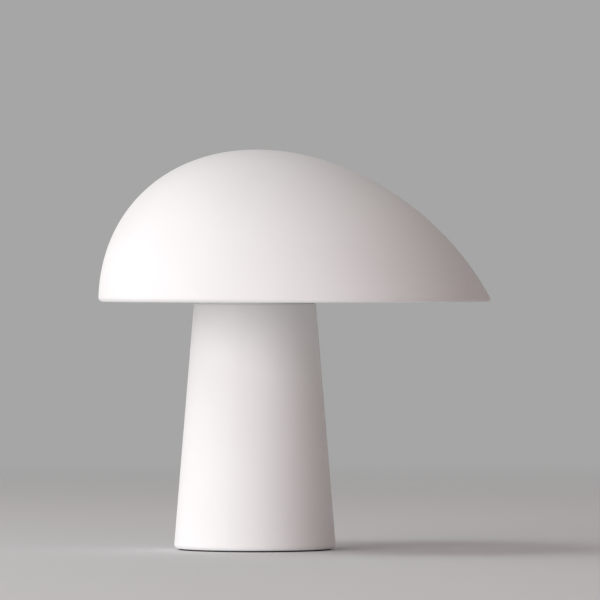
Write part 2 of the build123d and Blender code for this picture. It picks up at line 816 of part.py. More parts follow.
with BuildPart() as bulb_glass:
    with BuildSketch(Plane.XY.offset(collar_top)):
        Circle(bulb_diameter / 2)
    extrude(amount=round_centre - collar_top)
    with Locations((0, 0, round_centre)):
        Sphere(bulb_diameter / 2)
    with BuildSketch(Plane.XY.offset(collar_top)):
        Circle(bulb_diameter / 2 - bulb_glass_wall)
    extrude(amount=round_centre - collar_top, mode=Mode.SUBTRACT)
    with Locations((0, 0, round_centre)):
        Sphere(bulb_diameter / 2 - bulb_glass_wall, mode=Mode.SUBTRACT)
bulb_glass.part.label = "bulb_glass"
export_step(bulb_glass.part, "parts/bulb_glass.step")

with BuildPart() as bulb_core:
    with BuildSketch(Plane.XY.offset(spigot_top)):
        RegularPolygon(radius=core_flats / 2, side_count=6, major_radius=False)
    extrude(amount=bulb_top - core_headroom - spigot_top)
bulb_core.part.label = "bulb_core"
export_step(bulb_core.part, "parts/bulb_core.step")

pin_bottom = bulb_bottom - pin_length

with BuildPart() as bulb_pins:
    for side in (-1, 1):
        pin_x = side * pin_pitch / 2
        with BuildLine() as pin_path:
            FilletPolyline(
                (pin_x, -pin_loop / 2, bulb_bottom),
                (pin_x, -pin_loop / 2, pin_bottom),
                (pin_x, pin_loop / 2, pin_bottom),
                (pin_x, pin_loop / 2, bulb_bottom),
                radius=0.4 * pin_loop,
            )
        with BuildSketch(Plane(origin=pin_path.line @ 0, z_dir=pin_path.line % 0)):
            Circle(pin_wire / 2)
        sweep(path=pin_path.line)
bulb_pins.part.label = "bulb_pins"
export_step(bulb_pins.part, "parts/bulb_pins.step")

# ---------------------------------------------------------------------------------------
# Cord gland: where the mains cord enters the foot
# ---------------------------------------------------------------------------------------

with BuildPart() as cord_gland:
    with BuildSketch(inlet_axis.offset(inlet_face - gland_flange / 2)):
        Circle(gland_flange / 2)
    extrude(amount=gland_flange / 2 + gland_reach)
    fillet(cord_gland.edges().group_by(Axis.Y)[-1], gland_round)
    add(stem_block.part, mode=Mode.SUBTRACT)
    with BuildSketch(inlet_axis.offset(inlet_wall - gland_inside)):
        Circle(gland_body / 2)
    extrude(amount=gland_inside + stem_wall + gland_reach / 2)
    with BuildSketch(inlet_axis.offset(inlet_wall - gland_inside)):
        Circle(gland_bore / 2)
    extrude(amount=gland_inside + 2 * stem_wall + gland_reach, mode=Mode.SUBTRACT)
cord_gland.part.label = "cord_gland"
export_step(cord_gland.part, "parts/cord_gland.step")

with BuildPart() as cord_gland_nut:
    with BuildSketch(inlet_axis.offset(inlet_wall - gland_nut)):
        nut_section(gland_nut_flats, gland_body)
    extrude(amount=gland_nut + stem_wall)
    add(stem_room.part, mode=Mode.INTERSECT)
cord_gland_nut.part.label = "cord_gland_nut"
export_step(cord_gland_nut.part, "parts/cord_gland_nut.step")

# ---------------------------------------------------------------------------------------
# Push switch
# ---------------------------------------------------------------------------------------

with BuildPart() as switch_housing:
    with BuildSketch(switch_axis.offset(housing_back_y)):
        Circle(switch_body / 2)
    extrude(amount=switch_wall + stem_wall - housing_back_y)
    add(stem_room.part, mode=Mode.INTERSECT)
    with BuildSketch(switch_axis.offset(shoulder_y)):
        Circle(switch_bush / 2)
    extrude(amount=switch_face + switch_bush_reach - shoulder_y)
    with BuildSketch(switch_axis.offset(cavity_back_y)):
        Circle(switch_cavity / 2)
    extrude(amount=switch_cavity_depth, mode=Mode.SUBTRACT)
    with BuildSketch(switch_axis.offset(shoulder_y)):
        Circle(button_diameter / 2 + running_gap)
    extrude(amount=switch_face + switch_bush_reach - shoulder_y, mode=Mode.SUBTRACT)
    with BuildSketch(switch_axis.offset(housing_back_y)):
        with Locations((contact_radius, 0), (-contact_radius, 0)):
            Circle(terminal_pin / 2 + thread_play)
    extrude(amount=switch_back, mode=Mode.SUBTRACT)
switch_housing.part.label = "switch_housing"
export_step(switch_housing.part, "parts/switch_housing.step")

with BuildPart() as switch_bezel:
    with BuildSketch(switch_axis.offset(switch_face - bezel_diameter / 4)):
        Circle(bezel_diameter / 2)
        Circle(switch_bush / 2 + thread_play, mode=Mode.SUBTRACT)
    extrude(amount=bezel_diameter / 4 + bezel_reach)
    bezel_edges = switch_bezel.edges().group_by(Axis.Y)[-1]
    chamfer(bezel_edges.sort_by(SortBy.LENGTH)[-1], bezel_chamfer)
    add(stem_block.part, mode=Mode.SUBTRACT)
switch_bezel.part.label = "switch_bezel"
export_step(switch_bezel.part, "parts/switch_bezel.step")

with BuildPart() as switch_terminals:
    with BuildSketch(switch_axis.offset(housing_back_y - terminal_pin_tail)):
        with Locations((contact_radius, 0), (-contact_radius, 0)):
            Circle(terminal_pin / 2)
    extrude(amount=terminal_pin_tail + switch_back)
    with BuildSketch(switch_axis.offset(cavity_back_y)):
        with Locations((contact_radius, 0), (-contact_radius, 0)):
            Circle(terminal_pin_head / 2)
    extrude(amount=pin_head_y - cavity_back_y)
switch_terminals.part.label = "switch_terminals"
export_step(switch_terminals.part, "parts/switch_terminals.step")

with BuildPart() as switch_button:
    with BuildSketch(switch_axis.offset(collar_front_y)):
        Circle(button_diameter / 2)
    extrude(amount=switch_face + switch_bush_reach + button_reach - collar_front_y)
    fillet(switch_button.edges().group_by(Axis.Y)[-1], button_diameter / 9)
    with BuildSketch(switch_axis.offset(skirt_back_y)):
        Circle(button_collar / 2)
    extrude(amount=collar_front_y - skirt_back_y)
    with BuildSketch(switch_axis.offset(skirt_back_y)):
        Circle(button_skirt_bore / 2)
    extrude(amount=button_skirt, mode=Mode.SUBTRACT)
    with BuildSketch(switch_axis.offset(collar_back_y)):
        Circle(button_guide / 2)
    extrude(amount=-button_guide_length)
switch_button.part.label = "switch_button"
export_step(switch_button.part, "parts/switch_button.step")

with BuildPart() as switch_contact:
    with BuildSketch(switch_axis.offset(skirt_back_y)):
        Circle(button_collar / 2)
        Circle(button_skirt_bore / 2, mode=Mode.SUBTRACT)
    extrude(amount=-contact_thickness)
switch_contact.part.label = "switch_contact"
export_step(switch_contact.part, "parts/switch_contact.step")

spring_length = collar_back_y - cavity_back_y - spring_wire - 2 * running_gap

with BuildPart() as switch_spring:
    with BuildLine() as coil:
        Helix(
            spring_length / spring_turns,
            spring_length,
            spring_diameter / 2,
            center=(0, cavity_back_y + spring_wire / 2 + running_gap, switch_height),
            direction=(0, 1, 0),
        )
    with BuildSketch(Plane(origin=coil.line @ 0, z_dir=coil.line % 0)):
        Circle(spring_wire / 2)
    sweep(path=coil.line, is_frenet=True)
switch_spring.part.label = "switch_spring"
export_step(switch_spring.part, "parts/switch_spring.step")

# ---------------------------------------------------------------------------------------
# Terminal block on the weight
# ---------------------------------------------------------------------------------------

pole_places = [-terminal_pitch, 0.0, terminal_pitch]
clamp_places = [-terminal_place - clamp_screw_pitch / 2, -terminal_place + clamp_screw_pitch / 2]
clamp_points = [(x, y) for x in pole_places for y in clamp_places]
fixing_points = [(x, -terminal_place) for x in (-terminal_pitch / 2, terminal_pitch / 2)]
block_top = weight_top + terminal_height
block_axis = Plane(
    origin=(0, -terminal_place, terminal_bore_z), x_dir=(-1, 0, 0), z_dir=(0, 1, 0)
)

with BuildPart() as terminal_block:
    with BuildSketch(Plane.XY.offset(weight_top)):
        with Locations((0, -terminal_place)):
            Rectangle(terminal_width, terminal_depth)
    extrude(amount=terminal_height)
    with BuildSketch(Plane.XY.offset(block_top)):
        with Locations(clamp_points):
            Circle(clamp_screw / 2 + thread_play)
    extrude(amount=terminal_bore_z - block_top, mode=Mode.SUBTRACT)
    with BuildSketch(Plane.XY.offset(block_top)):
        with Locations(fixing_points):
            Circle(m3_thread / 2 + hole_play)
    extrude(amount=-terminal_height, mode=Mode.SUBTRACT)
    with BuildSketch(Plane.XY.offset(block_top)):
        with Locations(fixing_points):
            Circle(m3_head / 2 + hole_play)
    extrude(amount=-m3_head_height, mode=Mode.SUBTRACT)
    with BuildSketch(block_axis.offset(-terminal_depth / 2)):
        with Locations([(x, 0) for x in pole_places]):
            Circle(sleeve_outer / 2 + running_gap)
    extrude(amount=terminal_depth, mode=Mode.SUBTRACT)
terminal_block.part.label = "terminal_block"
export_step(terminal_block.part, "parts/terminal_block.step")

with BuildPart() as terminal_sleeves:
    with BuildSketch(block_axis.offset(-sleeve_length / 2)):
        with Locations([(x, 0) for x in pole_places]):
            Circle(sleeve_outer / 2)
            Circle(sleeve_inner / 2, mode=Mode.SUBTRACT)
    extrude(amount=sleeve_length)
    with BuildSketch(Plane.XY.offset(terminal_bore_z)):
        with Locations(clamp_points):
            Circle(clamp_screw / 2 + thread_play)
    extrude(amount=sleeve_outer, mode=Mode.SUBTRACT)
terminal_sleeves.part.label = "terminal_sleeves"
export_step(terminal_sleeves.part, "parts/terminal_sleeves.step")

with BuildPart() as terminal_screws:
    with BuildSketch(Plane.XY.offset(block_top - running_gap)):
        with Locations(clamp_points):
            Circle(clamp_screw / 2)
    clamp_bottom = terminal_bore_z + wire_diameter / 2 + running_gap
    extrude(amount=clamp_bottom - block_top)
    with BuildSketch(Plane.XY.offset(block_top)):
        with Locations(clamp_points):
            Rectangle(clamp_screw / 4, clamp_screw)
    extrude(amount=-clamp_screw / 4, mode=Mode.SUBTRACT)
terminal_screws.part.label = "terminal_screws"
export_step(terminal_screws.part, "parts/terminal_screws.step")

with BuildPart() as terminal_fixings:
    with BuildSketch(Plane.XY.offset(block_top - m3_head_height)):
        with Locations(fixing_points):
            Circle(m3_head / 2)
    extrude(amount=m3_head_height)
    with BuildSketch(Plane.XY.offset(block_top - m3_head_height)):
        with Locations(fixing_points):
            Circle(m3_thread / 2)
    extrude(amount=m3_head_height - terminal_height - plate_screw_length / 3)
terminal_fixings.part.label = "terminal_fixings"
export_step(terminal_fixings.part, "parts/terminal_fixings.step")

# ---------------------------------------------------------------------------------------
# Earth lug and its screw on the weight
# ---------------------------------------------------------------------------------------

lug_barrel_z = weight_top + lug_barrel / 2
lug_barrel_front = earth_screw_place[1] - lug_width / 2 - lug_barrel_length

with BuildPart() as earth_lug:
    with BuildSketch(Plane.XY.offset(weight_top)):
        with Locations(earth_screw_place):
            Circle(lug_width / 2)
            Rectangle(
                lug_barrel, lug_width / 2 + lug_barrel_length, align=(Align.CENTER, Align.MAX)
            )
            Circle(m4_thread / 2 + hole_play, mode=Mode.SUBTRACT)
    extrude(amount=lug_thickness)
    with BuildSketch(
        Plane(
            origin=(earth_screw_place[0], lug_barrel_front, lug_barrel_z),
            x_dir=(-1, 0, 0),
            z_dir=(0, 1, 0),
        )
    ):
        Circle(lug_barrel / 2)
    extrude(amount=lug_barrel_length)
earth_lug.part.label = "earth_lug"
export_step(earth_lug.part, "parts/earth_lug.step")

with BuildPart() as earth_screw:
    with BuildSketch(Plane.XY.offset(weight_top + lug_thickness)):
        with Locations(earth_screw_place):
            Circle(lug_width / 2 - running_gap)
    extrude(amount=m3_head_height)
    with BuildSketch(Plane.XY.offset(weight_top + lug_thickness)):
        with Locations(earth_screw_place):
            Circle(m4_thread / 2)
    extrude(amount=-lug_thickness - plate_screw_length / 2)
earth_screw.part.label = "earth_screw"
export_step(earth_screw.part, "parts/earth_screw.step")

# ---------------------------------------------------------------------------------------
# Grommet and wires
# ---------------------------------------------------------------------------------------

with BuildPart() as wire_grommet:
    with BuildSketch(Plane.XY.offset(stem_height - stem_wall - running_gap)):
        with Locations((0, wire_hole_place)):
            Circle(grommet_flange / 2)
    extrude(amount=-grommet_flange_height)
    with BuildSketch(Plane.XY.offset(holder_top + running_gap)):
        with Locations((0, wire_hole_place)):
            Circle(grommet_flange / 2)
    extrude(amount=grommet_flange_height)
    with BuildSketch(Plane.XY.offset(stem_height - stem_wall - running_gap)):
        with Locations((0, wire_hole_place)):
            Circle(grommet_neck / 2)
    extrude(amount=stem_wall + holder_thickness + 2 * running_gap)
    with BuildSketch(Plane.XY.offset(holder_top + 2 * grommet_flange_height)):
        with Locations((0, wire_hole_place)):
            Circle(grommet_bore / 2)
    extrude(amount=-stem_wall - holder_thickness - 5 * grommet_flange_height, mode=Mode.SUBTRACT)
wire_grommet.part.label = "wire_grommet"
export_step(wire_grommet.part, "parts/wire_grommet.step")

wire_pair = wire_diameter / 2 + running_gap + edge_gap / 3  # a wire beside its neighbour
wire_front = -terminal_place - terminal_depth / 2
tail_end_y = housing_back_y - terminal_pin_tail
wire_end_z = contact_bottom
grommet_exit = holder_top + grommet_flange_height
lead_turn = grommet_exit + wire_bend_room
wire_rise = stem_height - terminal_bore_z
approach_z = bridge_bottom - m3_nut - 1.1 * wire_diameter

live_route = [
    (terminal_pitch, wire_front + wire_reach, terminal_bore_z),
    (terminal_pitch, wire_front - wire_straight, terminal_bore_z),
    (wire_lane, wire_front - wire_straight, terminal_bore_z + 0.15 * wire_rise),
    (1.43 * wire_lane, -0.86 * wire_lane, switch_height + 1.43 * wire_lane),
    (wire_lane, 0.36 * wire_lane, switch_height + 0.79 * wire_lane),
    (contact_radius, tail_end_y - 0.64 * wire_lane, switch_height),
    (contact_radius, tail_end_y, switch_height),
]
switched_route = [
    (-contact_radius, tail_end_y, switch_height),
    (-contact_radius, tail_end_y - 0.71 * wire_lane, switch_height),
    (-0.79 * wire_lane, 0.5 * wire_lane, terminal_bore_z + 0.27 * wire_rise),
    (-0.71 * wire_lane, 0.71 * wire_lane, terminal_bore_z + 0.52 * wire_rise),
    (-0.29 * wire_lane, wire_hole_place, terminal_bore_z + 0.75 * wire_rise),
    (-wire_pair, wire_hole_place, terminal_bore_z + 0.89 * wire_rise),
    (-wire_pair, wire_hole_place, lead_turn),
    (-pin_pitch / 2, 0, approach_z),
    (-pin_pitch / 2, 0, wire_end_z),
]
neutral_route = [
    (-terminal_pitch, wire_front + wire_reach, terminal_bore_z),
    (-terminal_pitch, wire_front - wire_straight, terminal_bore_z),
    (-0.86 * wire_lane, wire_front - 0.64 * wire_lane, terminal_bore_z + 0.17 * wire_rise),
    (0.14 * wire_lane, -1.71 * wire_lane, terminal_bore_z + 0.36 * wire_rise),
    (1.14 * wire_lane, -0.43 * wire_lane, terminal_bore_z + 0.53 * wire_rise),
    (0.79 * wire_lane, 0.79 * wire_lane, terminal_bore_z + 0.72 * wire_rise),
    (wire_pair, wire_hole_place, terminal_bore_z + 0.89 * wire_rise),
    (wire_pair, wire_hole_place, lead_turn),
    (pin_pitch / 2, 0, approach_z),
    (pin_pitch / 2, 0, wire_end_z),
]
earth_route = [
    (0, wire_front + wire_reach, terminal_bore_z),
    (0, wire_front - 0.5 * wire_lane, terminal_bore_z),
    (0.86 * wire_lane, wire_front - 0.86 * wire_lane, terminal_bore_z - wire_diameter / 2),
    (1.71 * wire_lane, -1.93 * wire_lane, lug_barrel_z + wire_diameter / 2),
    (earth_screw_place[0], lug_barrel_front - wire_bend_room, lug_barrel_z),
    (earth_screw_place[0], lug_barrel_front, lug_barrel_z),
]

with BuildPart() as wire_live:
    with BuildLine() as live_path:
        FilletPolyline(*live_route, radius=bend_radii(live_route))
    with BuildSketch(Plane(origin=live_path.line @ 0, z_dir=live_path.line % 0)):
        Circle(wire_diameter / 2)
    sweep(path=live_path.line)
wire_live.part.label = "wire_live"
export_step(wire_live.part, "parts/wire_live.step")

with BuildPart() as wire_switched:
    with BuildLine() as switched_path:
        FilletPolyline(*switched_route, radius=bend_radii(switched_route))
    with BuildSketch(Plane(origin=switched_path.line @ 0, z_dir=switched_path.line % 0)):
        Circle(wire_diameter / 2)
    sweep(path=switched_path.line)
wire_switched.part.label = "wire_switched"
export_step(wire_switched.part, "parts/wire_switched.step")

with BuildPart() as wire_neutral:
    with BuildLine() as neutral_path:
        FilletPolyline(*neutral_route, radius=bend_radii(neutral_route))
    with BuildSketch(Plane(origin=neutral_path.line @ 0, z_dir=neutral_path.line % 0)):
        Circle(wire_diameter / 2)
    sweep(path=neutral_path.line)
wire_neutral.part.label = "wire_neutral"
export_step(wire_neutral.part, "parts/wire_neutral.step")

with BuildPart() as wire_earth:
    with BuildLine() as earth_path:
        FilletPolyline(*earth_route, radius=bend_radii(earth_route))
    with BuildSketch(Plane(origin=earth_path.line @ 0, z_dir=earth_path.line % 0)):
        Circle(wire_diameter / 2)
    sweep(path=earth_path.line)
wire_earth.part.label = "wire_earth"
export_step(wire_earth.part, "parts/wire_earth.step")

wire_area = math.pi * wire_diameter**2 / 4
for name, route, piece, path in (
    ("wire_live", live_route, wire_live, live_path),
    ("wire_switched", switched_route, wire_switched, switched_path),
    ("wire_neutral", neutral_route, wire_neutral, neutral_path),
    ("wire_earth", earth_route, wire_earth, earth_path),
):
    smallest = min(bend_radii(route))
    length = sum(edge.length for edge in path.line.edges())
    share = piece.part.volume / (wire_area * length)
    print(f"{name}: smallest bend {smallest:.1f} mm, volume over section x length {share:.4f}")
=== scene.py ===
"""A mushroom table lamp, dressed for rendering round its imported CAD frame."""

import logging
import math
from collections.abc import Sequence
from dataclasses import dataclass, field
from enum import Enum

import bmesh
import bpy
import numpy as np
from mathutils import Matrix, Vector


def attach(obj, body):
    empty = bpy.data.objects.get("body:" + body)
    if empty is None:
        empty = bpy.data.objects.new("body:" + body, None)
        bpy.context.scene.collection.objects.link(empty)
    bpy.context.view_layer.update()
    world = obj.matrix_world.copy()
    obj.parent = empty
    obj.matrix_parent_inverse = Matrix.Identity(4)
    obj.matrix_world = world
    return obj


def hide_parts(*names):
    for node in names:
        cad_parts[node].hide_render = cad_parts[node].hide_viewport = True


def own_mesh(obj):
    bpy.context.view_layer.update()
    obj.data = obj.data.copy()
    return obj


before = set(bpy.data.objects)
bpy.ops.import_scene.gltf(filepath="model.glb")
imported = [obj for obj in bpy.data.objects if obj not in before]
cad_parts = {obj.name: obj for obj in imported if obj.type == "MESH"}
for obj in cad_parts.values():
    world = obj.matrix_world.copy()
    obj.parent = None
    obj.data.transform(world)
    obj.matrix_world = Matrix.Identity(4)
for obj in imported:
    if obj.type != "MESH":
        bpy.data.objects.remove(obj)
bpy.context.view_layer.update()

LOG = logging.getLogger("lamp")
MM = 0.001
SAME_POINT = 1e-7
NO_LENGTH = 1e-8
SAME_CORNER = 1e-6
SHARP_EDGE = math.radians(32.0)
ROUNDED_EDGE = math.radians(35.0)
Triple = tuple[float, float, float]
Colour = tuple[float, float, float]


class Body(Enum):
    """The bodies of the frame that a piece can ride on."""

    LAMP = "lamp_body"
    GLIDE = "glide"
    SHADE = "shade"
    BULB = "bulb"
    BUTTON = "button"


# ---------------------------------------------------------------------------------------
# Materials
# ---------------------------------------------------------------------------------------

# Most of a noise lies between these values, and the narrow band gives more contrast.
WIDE = (0.3, 0.7)
NARROW = (0.35, 0.65)


class Signal:
    """A socket that takes part in sums: each expression adds its Math node."""

    def __init__(self, board: "NodeBoard", socket: bpy.types.NodeSocket | None) -> None:
        """Keeps the socket, or none for an output node, with the board that it is on."""
        self.board = board
        self.socket = socket

    def _math(self, operation: str, *values: "Signal | float") -> "Signal":
        """Adds a Math node of these values."""
        inputs = dict(enumerate(values))
        return self.board.add("ShaderNodeMath", {"operation": operation}, inputs)

    def __add__(self, other: "Signal | float") -> "Signal":
        """Adds a signal or a number."""
        return self._math("ADD", self, other)

    __radd__ = __add__

    def __sub__(self, other: "Signal | float") -> "Signal":
        """Takes a signal or a number away."""
        return self._math("SUBTRACT", self, other)

    def __rsub__(self, other: float) -> "Signal":
        """Takes this signal away from a number."""
        return self._math("SUBTRACT", other, self)

    def __mul__(self, other: "Signal | float") -> "Signal":
        """Multiplies by a signal or a number."""
        return self._math("MULTIPLY", self, other)

    __rmul__ = __mul__

    def most(self, other: "Signal | float") -> "Signal":
        """The larger of the two."""
        return self._math("MAXIMUM", self, other)

    def spread(self, low: float, high: float, start: float = 0.0, end: float = 1.0) -> "Signal":
        """Maps low to start and high to end on a smooth step.

        Args:
            low: The value that becomes start.
            high: The value that becomes end.
            start: The new value at low.
            end: The new value at high.

        Returns:
            The mapped signal.
        """
        sockets = {0: self, 1: low, 2: high, 3: start, 4: end}
        return self.board.add("ShaderNodeMapRange", {"interpolation_type": "SMOOTHSTEP"}, sockets)


class NodeBoard:
    """The node tree of a material or of the world."""

    def __init__(self, owner: bpy.types.Material | bpy.types.World) -> None:
        """Empties the tree of a material or of the world.

        Args:
            owner: What the tree belongs to.
        """
        owner.use_nodes = True
        self.tree = owner.node_tree
        self.tree.nodes.clear()

    def connect(self, socket: bpy.types.NodeSocket, value: object) -> None:
        """Links a signal to a socket, or sets a number, a vector or a colour on it.

        Args:
            socket: The socket.
            value: A signal, a number, a vector, or a colour of three parts.
        """
        if isinstance(value, Signal):
            self.tree.links.new(value.socket, socket)
        elif socket.type == "RGBA":
            socket.default_value = (*value, 1.0)
        else:
            socket.default_value = value

    def add(
        self,
        kind: str,
        settings: dict[str, object] | None = None,
        inputs: dict[int | str, object] | None = None,
        output: int | str = 0,
    ) -> Signal:
        """Adds a node, with its settings first and then its sockets.

        Args:
            kind: The node's type.
            settings: Its settings by name.
            inputs: What each socket that is set gets.
            output: The output to hand back.

        Returns:
            The chosen output.
        """
        node = self.tree.nodes.new(kind)
        for name, value in (settings or {}).items():
            setattr(node, name, value)
        for name, value in (inputs or {}).items():
            self.connect(node.inputs[name], value)
        return Signal(self, node.outputs[output] if node.outputs else None)

    def show(self, surface: Signal, output: str = "ShaderNodeOutputMaterial") -> None:
        """Adds the tree's output node and links a surface to it."""
        self.add(output, None, {"Surface": surface})

    def place(self, stretch: Triple = (1.0, 1.0, 1.0)) -> Signal:
        """The place on the object in metres, stretched along its axes.

        Args:
            stretch: The scale of each axis.

        Returns:
            The place as a vector.
        """
        spot = self.add("ShaderNodeTexCoord", output="Object")
        sockets = {"Vector": spot, "Scale": stretch}
        return self.add("ShaderNodeMapping", {"vector_type": "POINT"}, sockets)

    def noise(
        self,
        grain: float,
        detail: float = 2.0,
        stretch: Triple = (1.0, 1.0, 1.0),
        warp: float = 0.0,
    ) -> Signal:
        """Soft noise between 0 and 1.

        Args:
            grain: The size of its largest cells, in millimetres.
            detail: How many finer layers it has.
            stretch: The scale of each axis.
            warp: How far it bends itself.

        Returns:
            The noise.
        """
        sockets = {
            "Vector": self.place(stretch),
            "Scale": 1.0 / (grain * MM),
            "Detail": detail,
            "Distortion": warp,
        }
        return self.add("ShaderNodeTexNoise", {"noise_dimensions": "3D"}, sockets)

    def cells(self, grain: float, output: str = "Distance") -> Signal:
        """Voronoi cells.

        Args:
            grain: Their size, in millimetres.
            output: Distance from the cell's middle, or the cell's Color.

        Returns:
            The chosen output.
        """
        sockets = {"Vector": self.place(), "Scale": 1.0 / (grain * MM)}
        return self.add("ShaderNodeTexVoronoi", {"feature": "F1"}, sockets, output)

    def mix(self, amount: "Signal | float", first: object, second: object) -> Signal:
        """Mixes two colours.

        Args:
            amount: 0 for the first and 1 for the second.
            first: A colour or a signal.
            second: A colour or a signal.

        Returns:
            The mixed colour.
        """
        sockets = {0: amount, 6: first, 7: second}
        return self.add("ShaderNodeMix", {"data_type": "RGBA"}, sockets, 2)


class ShaderBoard(NodeBoard):
    """The node tree of a material, with its shader."""

    def __init__(self, material: bpy.types.Material) -> None:
        """Puts the shader into the material's emptied tree."""
        super().__init__(material)
        self.shader = self.add("ShaderNodeBsdfPrincipled")

    def feed(self, name: str, value: object) -> None:
        """Links a signal to one of the shader's sockets, or sets a number on it."""
        self.connect(self.shader.socket.node.inputs[name], value)

    def bump(self, height: Signal, depth: float, strength: float = 1.0) -> None:
        """Feeds a height to the shader's normal.

        Args:
            height: The height, from 0 to 1.
            depth: The depth of a whole step, in millimetres.
            strength: How much of it shows.
        """
        sockets = {"Strength": strength, "Distance": depth * MM, "Height": height}
        self.feed("Normal", self.add("ShaderNodeBump", None, sockets))


def shaded(colour: Colour, amount: float) -> Colour:
    """A colour made darker or lighter by an amount."""
    return tuple(min(1.0, part * amount) for part in colour)


@dataclass(frozen=True)
class Finish:
    """What all the finishes have: a name, a colour and a roughness."""

    label: str
    colour: Colour
    roughness: float

    def material(self) -> bpy.types.Material:
        """The finish's material, made the first time it is asked for.

        Returns:
            The material.
        """
        name = self.label + "_finish"
        found = bpy.data.materials.get(name)
        if found is None:
            found = bpy.data.materials.new(name)
            board = ShaderBoard(found)
            self.lay(board)
            board.show(board.shader)
        return found

    def lay(self, board: ShaderBoard) -> None:
        """Lays the finish out on a board."""
        raise NotImplementedError

    def toned(self, board: ShaderBoard, pattern: Signal, share: float) -> Signal:
        """The finish's colour, which falls to a share of itself where a pattern is high."""
        return board.mix(pattern, self.colour, shaded(self.colour, share))

    def roughened(
        self, pattern: Signal, less: float, more: float, band: tuple[float, float] = WIDE
    ) -> Signal:
        """The finish's roughness, less where a pattern is low and more where it is high.

        Args:
            pattern: The pattern.
            less: How far below the roughness it starts.
            more: How far above the roughness it ends.
            band: The pattern's values for the two.

        Returns:
            The roughness.
        """
        return pattern.spread(*band, self.roughness - less, self.roughness + more)


@dataclass(frozen=True)
class SatinPaint(Finish):
    """Sprayed satin paint on spun metal: a fine orange peel and a faint cloud of colour."""

    peel: float = 1.4
    depth: float = 0.02
    gloss: float = 0.18

    def lay(self, board: ShaderBoard) -> None:
        """Lays out the paint.

        Args:
            board: The board of its material.
        """
        cloud = board.noise(grain=70.0, detail=3.0)
        peel = board.noise(grain=self.peel)
        grit = board.noise(grain=0.25, detail=1.0)
        board.feed("Base Color", self.toned(board, cloud.spread(*WIDE), 0.975))
        board.feed("Roughness", self.roughened(grit, less=0.05, more=0.05))
        board.feed("Specular IOR Level", self.gloss)
        board.bump(peel * 0.8 + grit * 0.2, self.depth, strength=0.6)


@dataclass(frozen=True)
class CastMetal(Finish):
    """Raw cast metal with a sandy skin and a little rust in its hollows."""

    rust: Colour = (0.16, 0.07, 0.03)

    def lay(self, board: ShaderBoard) -> None:
        """Lays out the casting.

        Args:
            board: The board of its material.
        """
        sand = board.noise(grain=0.9, detail=5.0)
        patches = board.noise(grain=16.0, detail=4.0, warp=0.6)
        skin = board.mix(sand.spread(*WIDE), shaded(self.colour, 0.7), self.colour)
        rust = (patches * sand).spread(low=0.27, high=0.42, end=0.7)
        board.feed("Base Color", board.mix(rust, skin, self.rust))
        board.feed("Metallic", 1.0 - rust)
        board.feed("Roughness", self.roughened(sand, less=0.0, more=0.2))
        board.bump(sand, depth=0.15)


@dataclass(frozen=True)
class PlatedMetal(Finish):
    """Bare or plated metal: fine scratches, a soft spangle and dull patches."""

    tarnish: Colour = (0.3, 0.3, 0.32)
    spangle: float = 3.0
    scratch: Triple = (1.0, 14.0, 6.0)

    def lay(self, board: ShaderBoard) -> None:
        """Lays out the metal.

        Args:
            board: The board of its material.
        """
        scratch = board.noise(grain=1.6, detail=3.0, stretch=self.scratch)
        dull = board.noise(grain=9.0, detail=4.0, warp=0.4)
        grains = board.cells(self.spangle, output="Color")
        level = board.add("ShaderNodeSeparateColor", None, {0: grains})
        shade = self.toned(board, level * 0.35, 0.82)
        patch = dull.spread(low=0.5, high=0.75, end=0.45)
        board.feed("Base Color", board.mix(patch, shade, self.tarnish))
        board.feed("Metallic", 1.0)
        rough = self.roughened(scratch, less=0.07, more=0.07, band=NARROW)
        board.feed("Roughness", rough + patch * 0.25)
        board.bump(scratch, depth=0.006, strength=0.5)


@dataclass(frozen=True)
class Moulding(Finish):
    """Moulded plastic, nylon or rubber: an even colour with a fine spark-eroded grain."""

    grain: float = 0.35
    depth: float = 0.012
    dark_share: float = 0.9

    def lay(self, board: ShaderBoard) -> None:
        """Lays out the moulding.

        Args:
            board: The board of its material.
        """
        grain = board.noise(self.grain)
        flow = board.noise(grain=11.0, detail=3.0, warp=0.8)
        board.feed("Base Color", self.toned(board, flow.spread(*NARROW), self.dark_share))
        board.feed("Roughness", self.roughened(grain, less=0.04, more=0.06) + flow * 0.04)
        board.bump(grain, self.depth, strength=0.7)


@dataclass(frozen=True)
class Ceramic(Finish):
    """Unglazed insulator ceramic: creamy, with fine pores and dark specks."""

    speck: Colour = (0.33, 0.27, 0.2)

    def lay(self, board: ShaderBoard) -> None:
        """Lays out the ceramic.

        Args:
            board: The board of its material.
        """
        pores = board.noise(grain=0.5, detail=4.0)
        specks = board.cells(grain=1.1).spread(low=0.05, high=0.12, start=0.55, end=0.0)
        cloud = board.noise(grain=14.0, detail=3.0).spread(*NARROW)
        body = self.toned(board, cloud, 0.93)
        board.feed("Base Color", board.mix(specks, body, self.speck))
        board.feed("Roughness", self.roughened(pores, less=0.06, more=0.08))
        board.bump(pores, depth=0.03, strength=0.7)


@dataclass(frozen=True)
class FrostedGlass(Finish):
    """Etched glass that lets the light through and blurs it."""

    clearness: float = 0.92
    bend: float = 1.47

    def lay(self, board: ShaderBoard) -> None:
        """Lays out the glass.

        Args:
            board: The board of its material.
        """
        etch = board.noise(grain=0.3, detail=3.0)
        board.feed("Base Color", self.toned(board, etch.spread(*WIDE), 0.97))
        board.feed("Roughness", self.roughened(etch, less=0.05, more=0.08))
        board.feed("Transmission Weight", self.clearness)
        board.feed("IOR", self.bend)
        board.bump(etch, depth=0.01, strength=0.5)


